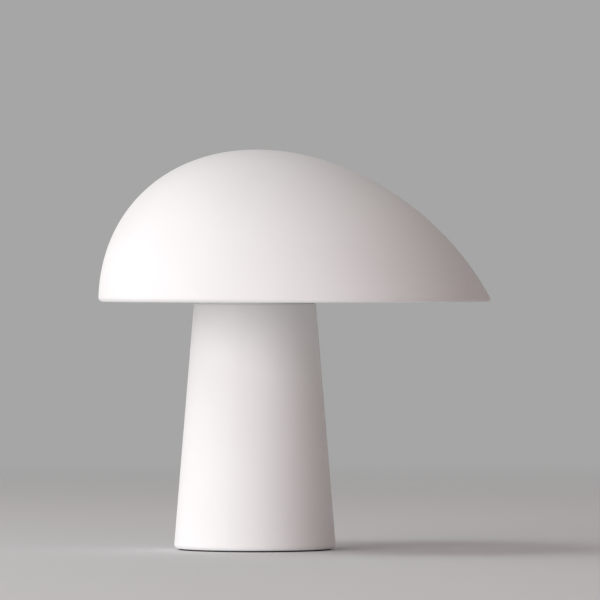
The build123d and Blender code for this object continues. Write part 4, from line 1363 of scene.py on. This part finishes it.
@dataclass
class GlideRing(SubAssembly):
    """The nylon ring that clips over the support ring and turns on it."""

    inner: float = 33.0
    outer: float = 37.35
    lip: float = 1.3
    hook: float = 0.9
    bottom: float = 208.05
    top: float = 209.65
    hook_top: float = 205.95
    skirt_bottom: float = 202.45
    key_radius: float = 35.1
    key_size: Triple = (3.4, 5.0, 1.3)
    key_corner: float = 0.6
    key_edge: float = 0.25
    key_sink: float = 0.1
    key_angles: Triple = (90.0, 210.0, 330.0)
    columns: int = 180

    def ring(self) -> Skin:
        """The ring: a flange with a thin skirt that ends in a hook, all corners eased.

        Returns:
            The ring's surface.
        """
        bore = self.outer - self.lip
        corners = [
            (self.inner, self.bottom, 0.3),
            (bore, self.bottom, 0.1),
            (bore, self.hook_top, 0.1),
            (bore - self.hook, self.hook_top, 0.15),
            (bore, self.skirt_bottom, 0.3),
            (self.outer, self.skirt_bottom, 0.3),
            (self.outer, self.top, 0.5),
            (self.inner, self.top, 0.3),
        ]
        return Skin.from_grid(spun(rounded(corners, closed=True), circle(self.columns)), loop=True)

    def keys(self) -> Skin:
        """Three keys on the ring, each a block with eased edges, turned to face outwards.

        Returns:
            The keys' surface.
        """
        width, length, height = self.key_size
        block = rounded_box(width, length, height + self.key_sink, self.key_corner, self.key_edge)
        block = block.at((self.key_radius, 0.0, self.top - self.key_sink))
        return Skin.joined([block.turned(degrees) for degrees in self.key_angles])

    def build(self) -> None:
        """Builds the ring with its keys."""
        skin = Skin.joined([self.ring(), self.keys()])
        place_piece("glide_ring_skin", skin, Finishes.white_nylon, Body.GLIDE, ["glide_ring"])


@dataclass
class ShadeMount(SubAssembly):
    """The plate in the shade that drops over the glide ring, its studs and their nuts."""

    bottom: float = 209.7
    plate_edge: float = 0.25
    nut_flats: float = 7.0
    nut_height: float = 3.2
    thread: float = 4.0
    pitch: float = 0.7
    stud_circle: float = 44.0
    stud_edge: float = 0.15
    first_stud: float = 60.0

    def build(self) -> None:
        """Builds the nuts, and rounds the edges of the plate and the studs."""
        nut = hex_nut(self.nut_flats, self.thread, self.nut_height, self.pitch)
        spots = ring_places(self.stud_circle, 3, self.first_stud, self.bottom - self.nut_height)
        zinc, paint = Finishes.zinc_steel, Finishes.white_paint
        place_piece("stud_nuts", nut.at(*spots), zinc, Body.SHADE, ["shade_stud_nuts"])
        edged_copy("shade_plate", paint, Body.SHADE, self.plate_edge, joined=False)
        edged_copy("shade_studs", zinc, Body.SHADE, self.stud_edge)


@dataclass
class Lampholder(SubAssembly):
    """The ceramic holder on its stirrup, with its screws, nuts and contacts."""

    ceramic_edge: float = 0.35
    stirrup_edge: float = 0.3
    edge_steps: int = 3
    nut_flats: float = 5.5
    thread: float = 3.0
    nut_height: float = 2.4
    pitch: float = 0.5
    nut_offset: float = 8.7
    nut_bottom: float = 159.6

    def build(self) -> None:
        """Rounds the edges of the ceramic and the stirrup, and builds the two nuts."""
        zinc, lamp, steps = Finishes.zinc_steel, Body.LAMP, self.edge_steps
        for node in ("lampholder", "lampholder_cap"):
            edged_copy(node, Finishes.ceramic, lamp, self.ceramic_edge, steps)
        edged_copy("socket_stirrup", zinc, lamp, self.stirrup_edge, steps)
        nut = hex_nut(self.nut_flats, self.thread, self.nut_height, self.pitch)
        spots = [(0.0, side * self.nut_offset, self.nut_bottom) for side in (1, -1)]
        place_piece("lampholder_hex_nuts", nut.at(*spots), zinc, lamp, ["lampholder_nuts"])

    def dress(self) -> None:
        """Gives the holder's screws and contacts their finishes."""
        carry(Finishes.zinc_steel, "stirrup_screws", "lampholder_screws")
        carry(Finishes.brass, "lampholder_contacts")


@dataclass
class Bulb(SubAssembly):
    """The pin bulb: a ribbed base, a frosted glass, a core with light chips and two pins."""

    bottom: float = 181.7
    collar_top: float = 186.7
    spigot_top: float = 190.2
    spigot_radius: float = 7.0
    radius: float = 8.0
    base_hollow: float = 0.5
    eases: tuple[float, float, float, float] = (0.5, 0.25, 0.1, 0.4)
    glass_wall: float = 0.7
    glass_ease: float = 0.25
    tip: float = 216.5
    tip_angle: float = 88.0
    core_half_flats: float = 4.0
    core_top: float = 209.0
    ribs: int = 24
    rib_depth: float = 0.3
    rib_half_height: float = 1.9
    rib_fade: float = 0.5
    chip_levels: tuple[float, ...] = (193.0, 197.2, 201.4, 205.6)
    chip_size: Triple = (2.6, 3.2, 0.75)
    top_chip_size: Triple = (3.4, 3.4, 0.75)
    chip_corner: float = 0.3
    chip_edge: float = 0.2
    chip_sink: float = 0.1

    def base(self) -> Skin:
        """The base: its collar's radius falls by the ribs' depth in the grooves of a cosine.

        The grooves fade out within a step of the ribs' height, so the collar's ends stay round.

        Returns:
            The base's surface.
        """
        under, shoulder, root, top = self.eases
        section = rounded(
            [
                (self.base_hollow, self.bottom, 0.0),
                (self.radius, self.bottom, under),
                (self.radius, self.collar_top, shoulder),
                (self.spigot_radius, self.collar_top, root),
                (self.spigot_radius, self.spigot_top, top),
                (self.base_hollow, self.spigot_top, 0.0),
            ],
            closed=False,
        )
        rows, margin = 12, 0.8
        level = np.linspace(self.bottom + margin, self.collar_top - margin, rows)
        side = np.stack([np.full(rows, self.radius), level], axis=-1)
        collar = section[:, 0] > (self.radius + self.spigot_radius) / 2
        split = int(np.flatnonzero((section[:, 1] > level[0]) & collar)[0])
        section = np.concatenate([section[:split], side, section[split:]])
        angles = circle(self.ribs * 8)
        grid = spun(section, angles)
        middle = (self.bottom + self.collar_top) / 2
        inside = self.rib_half_height - np.abs(section[:, 1] - middle)
        window = np.clip(inside / self.rib_fade, 0.0, 1.0)
        window = window * (section[:, 0] > self.radius - 0.01)
        groove = self.rib_depth / 2 * (1 - np.cos(self.ribs * angles))
        scale = 1 - window[:, None] * groove[None] / self.radius
        grid[..., :2] *= scale[..., None]
        return Skin.from_grid(grid)

    def glass(self) -> Skin:
        """The glass: a tube with a round end, with an inner face a wall's thickness inside.

        Returns:
            The glass's surface.
        """
        centre, low, ease = self.tip - self.radius, self.collar_top, self.glass_ease
        turn = np.linspace(0.0, math.radians(self.tip_angle), 24)
        outer = np.stack([self.radius * np.cos(turn), centre + self.radius * np.sin(turn)], axis=-1)
        inside = self.radius - self.glass_wall
        inner = np.stack([inside * np.cos(turn), centre + inside * np.sin(turn)], axis=-1)[::-1]
        rim = np.array(
            [
                (self.radius, low + ease),
                (self.radius - ease, low),
                (inside + ease, low),
                (inside, low + ease),
                (inside, low + 0.6),
            ]
        )
        rows, margin = 12, 1.0
        rise = np.linspace(low + margin, centre - margin, rows)
        down = np.stack([np.full(rows, self.radius), rise[::-1]], axis=-1)
        up = np.stack([np.full(rows, inside), rise], axis=-1)
        path = np.concatenate([outer[::-1], down, rim, up, inner[::-1]])
        skin = Skin.from_grid(spun(path, circle(96)))
        skin.points[-2] = (0.0, 0.0, self.tip)
        skin.points[-1] = (0.0, 0.0, self.tip - self.glass_wall)
        return skin

    def core(self) -> Skin:
        """The core: a hexagon bar, a little narrower at its two ends.

        Its reach is half the flats over the cosine of the angle from the nearest flat, cut off
        at 1.1 of half the flats.

        Returns:
            The core's surface.
        """
        angles = circle(72)
        flat = self.core_half_flats / np.cos(angles % (np.pi / 3) - np.pi / 6)
        reach = np.minimum(flat, self.core_half_flats * 1.1)
        low, high = self.spigot_top, self.core_top
        rows = np.array([low, low + 0.2, high - 0.3, high])
        shrink = np.array([0.95, 1.0, 1.0, 0.93])[:, None]
        x, y = shrink * reach * np.cos(angles), shrink * reach * np.sin(angles)
        return Skin.from_grid(np.stack([x, y, rows[:, None] + 0.0 * angles], axis=-1))

    def chips(self) -> Skin:
        """Light chips: four on each face of the core and one on its top, each a small pillow.

        Returns:
            The chips' surface.
        """
        chip = rounded_box(*self.chip_size, self.chip_corner, self.chip_edge)
        stood = chip.mapped([[0.0, 0.0, 1.0], [1.0, 0.0, 0.0], [0.0, 1.0, 0.0]])
        face = self.core_half_flats - self.chip_sink
        column = stood.at(*[(face, 0.0, level) for level in self.chip_levels])
        columns = [column.turned(degrees) for degrees in np.arange(6) * 60.0 + 30.0]
        top = rounded_box(*self.top_chip_size, self.chip_corner, self.chip_edge)
        return Skin.joined([*columns, top.at((0.0, 0.0, self.core_top - self.chip_sink))])

    def build(self) -> None:
        """Builds the base, the glass, the core and its chips."""
        bulb = Body.BULB
        place_piece("bulb_ribbed_base", self.base(), Finishes.white_plastic, bulb, ["bulb_base"])
        place_piece("bulb_frosted_glass", self.glass(), Finishes.bulb_glass, bulb, ["bulb_glass"])
        place_piece("bulb_chip_board", self.core(), Finishes.led_board, bulb, ["bulb_core"])
        place_piece("bulb_chips", self.chips(), Finishes.phosphor, bulb, [])

    def dress(self) -> None:
        """Gives the pins their finish."""
        carry(Finishes.brass, "bulb_pins")


@dataclass
class BackFitting(SubAssembly):
    """A round fitting that looks out of the back of the stem.

    Its sections are given as the distance from its axis and the distance back from the stem's
    axis, and turn into the lamp's frame as x = d cos a, y = b, z = height + d sin a.
    """

    form: StemForm
    height: float

    def turned(self, section: np.ndarray, angles: np.ndarray) -> np.ndarray:
        """Spins a section round the fitting's axis.

        Args:
            section: Distance from the axis and distance back.
            angles: The angles of the columns.

        Returns:
            The grid of points.
        """
        reach, back = section[:, :1], section[:, 1:]
        rows = [reach * np.cos(angles), back + 0.0 * angles, self.height + reach * np.sin(angles)]
        return np.stack(rows, axis=-1)

    def seated(self, grid: np.ndarray, rows: slice, gap: float = 0.03) -> np.ndarray:
        """Sets rows of a grid on the outside of the stem's wall.

        Args:
            grid: The points.
            rows: The rows to set.
            gap: How far outside the wall.

        Returns:
            The grid.
        """
        part = grid[rows]
        grid[rows, :, 1] = self.form.back_face(part[..., 0], part[..., 2], gap)
        return grid


@dataclass
class PushSwitch(BackFitting):
    """The push switch in the stem: its bezel, its housing, its dished button and its spring."""

    form: StemForm = field(default_factory=StemForm)
    height: float = 40.0
    wall_back: float = 43.38
    housing_edge: float = 0.2
    bezel_radius: float = 8.5
    bezel_reach: float = 3.0
    bezel_eases: tuple[float, float] = (0.3, 0.8)
    bore: float = 6.05
    flutes: int = 28
    flute_depth: float = 0.35
    flute_start: float = 0.9
    flute_fade: float = 0.6
    button_radius: float = 4.5
    button_ease: float = 0.8
    button_end: float = 50.78
    collar_front: float = 37.825
    collar_back: float = 35.825
    skirt_back: float = 31.225
    collar_radius: float = 7.3
    skirt_bore: float = 5.2
    guide_radius: float = 2.0
    guide_length: float = 5.0
    spring_radius: float = 3.6
    spring_wire: float = 0.7
    spring_turns: int = 5
    spring_start: float = 26.275
    spring_length: float = 9.15
    travel: float = 2.5

    def spring(self) -> Skin:
        """The spring: a round wire on a helix whose end turns lie close together.

        The wire's middle is at the spring's radius and turns evenly. It goes back at 0.33 of
        the full rate in the first and last half turn, and the rate grows over 0.4 of a turn.
        A point of the wire is at its middle + w (cos b outwards + sin b across the wire).

        Returns:
            The spring's surface.
        """
        turns = np.linspace(0.0, self.spring_turns, 36 * self.spring_turns + 1)
        inwards = np.minimum(turns, self.spring_turns - turns)
        rate = 0.33 + 0.67 * np.clip((inwards - 0.5) / 0.4, 0.0, 1.0)
        share = np.cumsum(rate) - rate[0]
        back = self.spring_start + self.spring_length * share / share[-1]
        axis = np.stack([0.0 * back, back, 0.0 * back + self.height], axis=-1)
        angle = 2 * np.pi * turns
        outwards = np.stack([np.cos(angle), 0.0 * angle, np.sin(angle)], axis=-1)
        middle = self.spring_radius * outwards + axis
        along = np.gradient(middle, axis=0)
        across = np.cross(along / np.linalg.norm(along, axis=1, keepdims=True), outwards)
        turn = circle(14)[None, :, None]
        wire = np.cos(turn) * outwards[:, None] + np.sin(turn) * across[:, None]
        return Skin.from_grid(middle[:, None] + self.spring_wire / 2 * wire)

    def bezel(self) -> Skin:
        """The bezel: its side's radius falls by the flutes' depth in the troughs of a cosine.

        Returns:
            The bezel's surface.
        """
        front, foot_back = self.wall_back + self.bezel_reach, self.wall_back - 1.0
        mouth_ease, rim_ease = self.bezel_eases
        section = rounded(
            [
                (self.bore, foot_back, 0.0),
                (self.bore, front, mouth_ease),
                (self.bezel_radius, front, rim_ease),
                (self.bezel_radius, foot_back, 0.0),
            ],
            closed=False,
            steps=8,
        )
        angles = circle(self.flutes * 8)
        grid = self.turned(section, angles)
        depth = np.clip((front - self.flute_start - section[:, 1]) / self.flute_fade, 0.0, 1.0)
        depth = depth * (section[:, 0] > self.bezel_radius - 0.5)
        groove = self.flute_depth / 2 * (1 - np.cos(self.flutes * angles))
        scale = 1 - depth[:, None] * groove[None] / self.bezel_radius
        grid[..., 0] *= scale
        grid[..., 2] = self.height + (grid[..., 2] - self.height) * scale
        side = np.linspace(0.0, 1.0, 5)[1:-1, None, None]
        seat = self.seated(grid[-1:].copy(), slice(0, 1))
        foot = self.seated(grid[:1].copy(), slice(0, 1))
        run = grid[-2] + side * (seat - grid[-2])
        return Skin.from_grid(np.concatenate([foot, grid[1:-1], run, seat]), loop=True)

    def button(self) -> Skin:
        """The button: a round plunger whose front is dished 0.55 deep inside a rounded lip.

        Returns:
            The button's surface.
        """
        end, guide_end = self.button_end, self.collar_back - self.guide_length
        corners = [
            (0.2, guide_end, 0.0),
            (self.guide_radius, guide_end, 0.3),
            (self.guide_radius, self.collar_back, 0.1),
            (self.skirt_bore, self.collar_back, 0.1),
            (self.skirt_bore, self.skirt_back, 0.1),
            (self.collar_radius, self.skirt_back, 0.2),
            (self.collar_radius, self.collar_front, 0.2),
            (self.button_radius, self.collar_front, 0.1),
            (self.button_radius, end, self.button_ease),
            (3.2, end, 0.3),
            (2.5, end - 0.35, 0.4),
        ]
        section = rounded([*corners, (1.6, end - 0.48, 0.0)], closed=False, steps=8)
        dish = np.array([(0.8, end - 0.53), (0.2, end - 0.55)])
        return Skin.from_grid(self.turned(np.concatenate([section, dish]), circle(72)))

    def build(self) -> None:
        """Builds the bezel, the button and the spring, and rounds the housing's edges.
        """
        plastic, steel, lamp = Finishes.white_plastic, Finishes.spring_steel, Body.LAMP
        place_piece("switch_fluted_bezel", self.bezel(), plastic, lamp, ["switch_bezel"])
        place_piece("switch_dished_button", self.button(), plastic, Body.BUTTON, ["switch_button"])
        edged_copy("switch_housing", plastic, lamp, self.housing_edge)
        coil = place_piece("switch_coil_spring", self.spring(), steel, lamp, ["switch_spring"])
        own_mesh(coil)

    def dress(self) -> None:
        """Gives the switch's contacts their finish."""
        carry(Finishes.brass, "switch_terminals", "switch_contact")


@dataclass
class CordInlet(BackFitting):
    """The gland at the back of the foot, open for a mains cord."""

    form: StemForm = field(default_factory=StemForm)
    height: float = 13.0
    wall_back: float = 45.587
    flange_radius: float = 7.0
    reach: float = 4.4
    round_edge: float = 2.0
    bore: float = 3.2
    mouth_ease: float = 0.7
    tube_radius: float = 4.5
    tube_eases: tuple[float, float] = (0.4, 0.3)
    inner_end: float = 34.582

    def gland(self) -> Skin:
        """The gland: a round-edged flange on the wall and a tube through it, bored through.

        Returns:
            The gland's surface.
        """
        front = self.wall_back + self.reach
        section = rounded(
            [
                (self.tube_radius, self.wall_back - 1.0, 0.0),
                (self.tube_radius, self.inner_end, self.tube_eases[0]),
                (self.bore, self.inner_end, self.tube_eases[1]),
                (self.bore, front, self.mouth_ease),
                (self.flange_radius, front, self.round_edge),
                (self.flange_radius, self.wall_back, 0.0),
            ],
            closed=False,
            steps=10,
        )
        grid = self.turned(section, circle(96))
        grid = self.seated(grid, slice(0, 1))
        return Skin.from_grid(self.seated(grid, slice(len(grid) - 1, len(grid))), loop=True)

    def build(self) -> None:
        """Builds the gland."""
        rubber = Finishes.black_rubber
        place_piece("cord_gland_skin", self.gland(), rubber, Body.LAMP, ["cord_gland"])

    def dress(self) -> None:
        """Gives the gland's nut its finish."""
        carry(Finishes.white_nylon, "cord_gland_nut")


@dataclass
class TieRod(SubAssembly):
    """The rod that clamps the weight, the stem and the holder together, threaded at its ends."""

    radius: float = 3.0
    bottom: float = 5.9
    top: float = 153.8
    thread_length: float = 14.0
    pitch: float = 1.0
    tip: float = 0.5
    runout: float = 0.6
    nut_flats: float = 10.0
    nuts: tuple[tuple[float, float], ...] = ((6.9, 5.0), (149.6, 3.2))
    washer_edge: float = 0.15

    def rod(self) -> Skin:
        """The rod: a chamfered tip, a thread, a plain shank, a thread and a tip.

        Returns:
            The rod's surface.
        """
        columns = 36
        thick, low, high = self.radius, self.bottom, self.top
        narrow, wide = thick - 2 * self.tip, thick - 0.1
        foot = spun(np.array([(narrow, low), (wide, low + self.tip)]), circle(columns))
        head = spun(np.array([(wide, high - self.tip), (narrow, high)]), circle(columns))
        spans = (
            (low + self.runout, low + self.thread_length),
            (high - self.thread_length, high - self.runout),
        )
        threads = [threaded(thick, self.pitch, *span, columns) for span in spans]
        return Skin.from_grid(np.concatenate([foot, *threads, head]))

    def build(self) -> None:
        """Builds the rod and its two nuts, and rounds the washers' edges."""
        zinc, flats, thread = Finishes.zinc_steel, self.nut_flats, 2 * self.radius
        nuts = [
            hex_nut(flats, thread, height, self.pitch).at((0.0, 0.0, bottom))
            for bottom, height in self.nuts
        ]
        place_piece("tie_rod_threaded", self.rod(), zinc, Body.LAMP, ["tie_rod"])
        place_piece("tie_rod_hex_nuts", Skin.joined(nuts), zinc, Body.LAMP, ["tie_rod_nuts"])
        edged_copy("tie_rod_washers", zinc, Body.LAMP, self.washer_edge)


@dataclass
class Wiring(SubAssembly):
    """The terminal block, the earth lug and the wires inside the stem."""

    block_edge: float = 0.3

    def build(self) -> None:
        """Rounds the terminal block's edges."""
        edged_copy("terminal_block", Finishes.white_nylon, Body.LAMP, self.block_edge)

    def dress(self) -> None:
        """Gives the terminals and the wires their finishes."""
        carry(Finishes.brass, "terminal_sleeves", "earth_lug")
        carry(Finishes.zinc_steel, "terminal_screws", "terminal_fixings", "earth_screw")
        carry(Finishes.brown_insulation, "wire_live", "wire_switched")
        carry(Finishes.blue_insulation, "wire_neutral")
        carry(Finishes.earth_insulation, "wire_earth")


@dataclass(frozen=True)
class SoftLamp:
    """A large round lamp that looks at the middle of the object from 2.5 m away."""

    name: str
    azimuth: float
    elevation: float
    power: float
    colour: Colour = (1.0, 1.0, 1.0)
    size: float = 2.0
    distance: float = 2.5
    aim: Triple = (0.02, 0.0, 0.14)

    def hang(self) -> None:
        """Hangs the lamp: its direction turns from +X by the azimuth and up by the elevation."""
        light = bpy.data.lights.new(self.name, "AREA")
        light.shape = "DISK"
        light.size = self.size
        light.energy = self.power
        light.color = self.colour
        turn, rise = math.radians(self.azimuth), math.radians(self.elevation)
        level = math.cos(rise)
        towards = Vector((level * math.cos(turn), level * math.sin(turn), math.sin(rise)))
        holder = bpy.data.objects.new(self.name, light)
        holder.location = Vector(self.aim) + towards * self.distance
        holder.rotation_euler = towards.to_track_quat("Z", "Y").to_euler()
        holder.visible_camera = False
        bpy.context.scene.collection.objects.link(holder)


@dataclass
class Studio:
    """A pale floor that passes light from below, five soft lamps and an even fill."""

    floor_colour: Colour = (0.68, 0.68, 0.68)
    floor_radii: tuple[float, ...] = (200.0, 900.0, 2000.0, 3600.0)
    floor_roughness: float = 0.9
    fade_start: float = 0.55
    fade_end: float = 2.1
    backdrop: float = 0.38
    fill: float = 0.3
    fill_colour: Colour = (1.0, 0.87, 0.84)
    lamps: tuple[SoftLamp, ...] = (
        SoftLamp("front", -128.0, 8.0, 37.5, (0.985, 0.925, 0.95)),
        SoftLamp("high_side", -168.0, 55.0, 21.5, (0.9, 0.985, 1.0)),
        SoftLamp("table_glow", -158.0, -32.0, 16.0, (0.9, 1.0, 1.0)),
        SoftLamp("faint_side", -35.0, 5.0, 1.6, (1.0, 0.66, 0.58)),
        SoftLamp("rear", 150.0, 15.0, 10.0),
    )

    def floor(self) -> None:
        """Lays a round floor that fades into the backdrop with the distance from the lamp.

        It can't be seen from below and throws no shadow, so a lamp under it lights the object.
        """
        section = np.array([(radius, 0.0) for radius in self.floor_radii])
        mesh = Skin.from_grid(spun(section, circle(96)), ends=(True, False)).mesh("floor")
        if mesh.polygons[0].normal.z < 0:
            mesh.flip_normals()
        material = bpy.data.materials.new("floor")
        board = ShaderBoard(material)
        pale = self.floor_colour
        board.feed("Base Color", board.mix(board.noise(grain=40.0), pale, shaded(pale, 0.995)))
        board.feed("Roughness", self.floor_roughness)
        settings, sockets = {"operation": "LENGTH"}, {0: board.place()}
        length = board.add("ShaderNodeVectorMath", settings, sockets, "Value")
        below = board.add("ShaderNodeNewGeometry", output="Backfacing")
        shadow = board.add("ShaderNodeLightPath", output="Is Shadow Ray")
        fade = length.spread(self.fade_start, self.fade_end).most(below).most(shadow)
        clear = board.add("ShaderNodeBsdfTransparent")
        sockets = {0: fade, 1: board.shader, 2: clear}
        board.show(board.add("ShaderNodeMixShader", None, sockets))
        mesh.materials.append(material)
        floor = bpy.data.objects.new("floor", mesh)
        bpy.context.scene.collection.objects.link(floor)

    def world(self) -> None:
        """Lights the scene evenly; the camera, glass and reflections show a plain backdrop."""
        world = bpy.data.worlds.new("studio")
        bpy.context.scene.world = world
        board = NodeBoard(world)
        rays = ("Is Camera Ray", "Is Transmission Ray", "Is Glossy Ray")
        camera, through, gloss = (board.add("ShaderNodeLightPath", output=ray) for ray in rays)
        sockets = {"Color": self.fill_colour, "Strength": self.fill}
        fill = board.add("ShaderNodeBackground", None, sockets)
        sockets = {"Color": (1.0, 1.0, 1.0), "Strength": self.backdrop}
        seen = board.add("ShaderNodeBackground", None, sockets)
        sockets = {0: camera.most(through).most(gloss), 1: fill, 2: seen}
        board.show(board.add("ShaderNodeMixShader", None, sockets), "ShaderNodeOutputWorld")

    def build(self) -> None:
        """Sets up the floor, the world and the lamps."""
        self.floor()
        self.world()
        for lamp in self.lamps:
            lamp.hang()


@dataclass
class Viewpoint:
    """The camera: a little above the rim, far away, with a long lens."""

    across: float = 0.0259
    distance: float = 4.5
    height: float = 0.165
    aim_height: float = 0.1435
    lens: float = 469.6
    sensor: float = 36.0
    far_end: float = 100.0

    def build(self) -> None:
        """Makes the scene's camera."""
        camera = bpy.data.cameras.new("camera")
        camera.lens = self.lens
        camera.sensor_width = self.sensor
        camera.clip_end = self.far_end
        holder = bpy.data.objects.new("camera", camera)
        holder.location = (self.across, -self.distance, self.height)
        dip = math.atan2(self.height - self.aim_height, self.distance)
        holder.rotation_euler = (math.radians(90.0) - dip, 0.0, 0.0)
        bpy.context.scene.collection.objects.link(holder)
        bpy.context.scene.camera = holder
        bpy.context.scene.view_settings.view_transform = "Standard"


def main() -> None:
    """Builds the camera, the studio and the lamp, sub-assembly by sub-assembly."""
    logging.basicConfig(level=logging.INFO, format="%(message)s")
    Viewpoint().build()
    Studio().build()
    assemblies = (
        Stem(),
        TieRod(),
        ShadeHolder(),
        GlideRing(),
        Shade(),
        ShadeMount(),
        Lampholder(),
        Bulb(),
        PushSwitch(),
        CordInlet(),
        Wiring(),
    )
    for assembly in assemblies:
        assembly.build()
        assembly.dress()
        LOG.info("%s done", type(assembly).__name__)


if __name__ == "__main__":
    main()
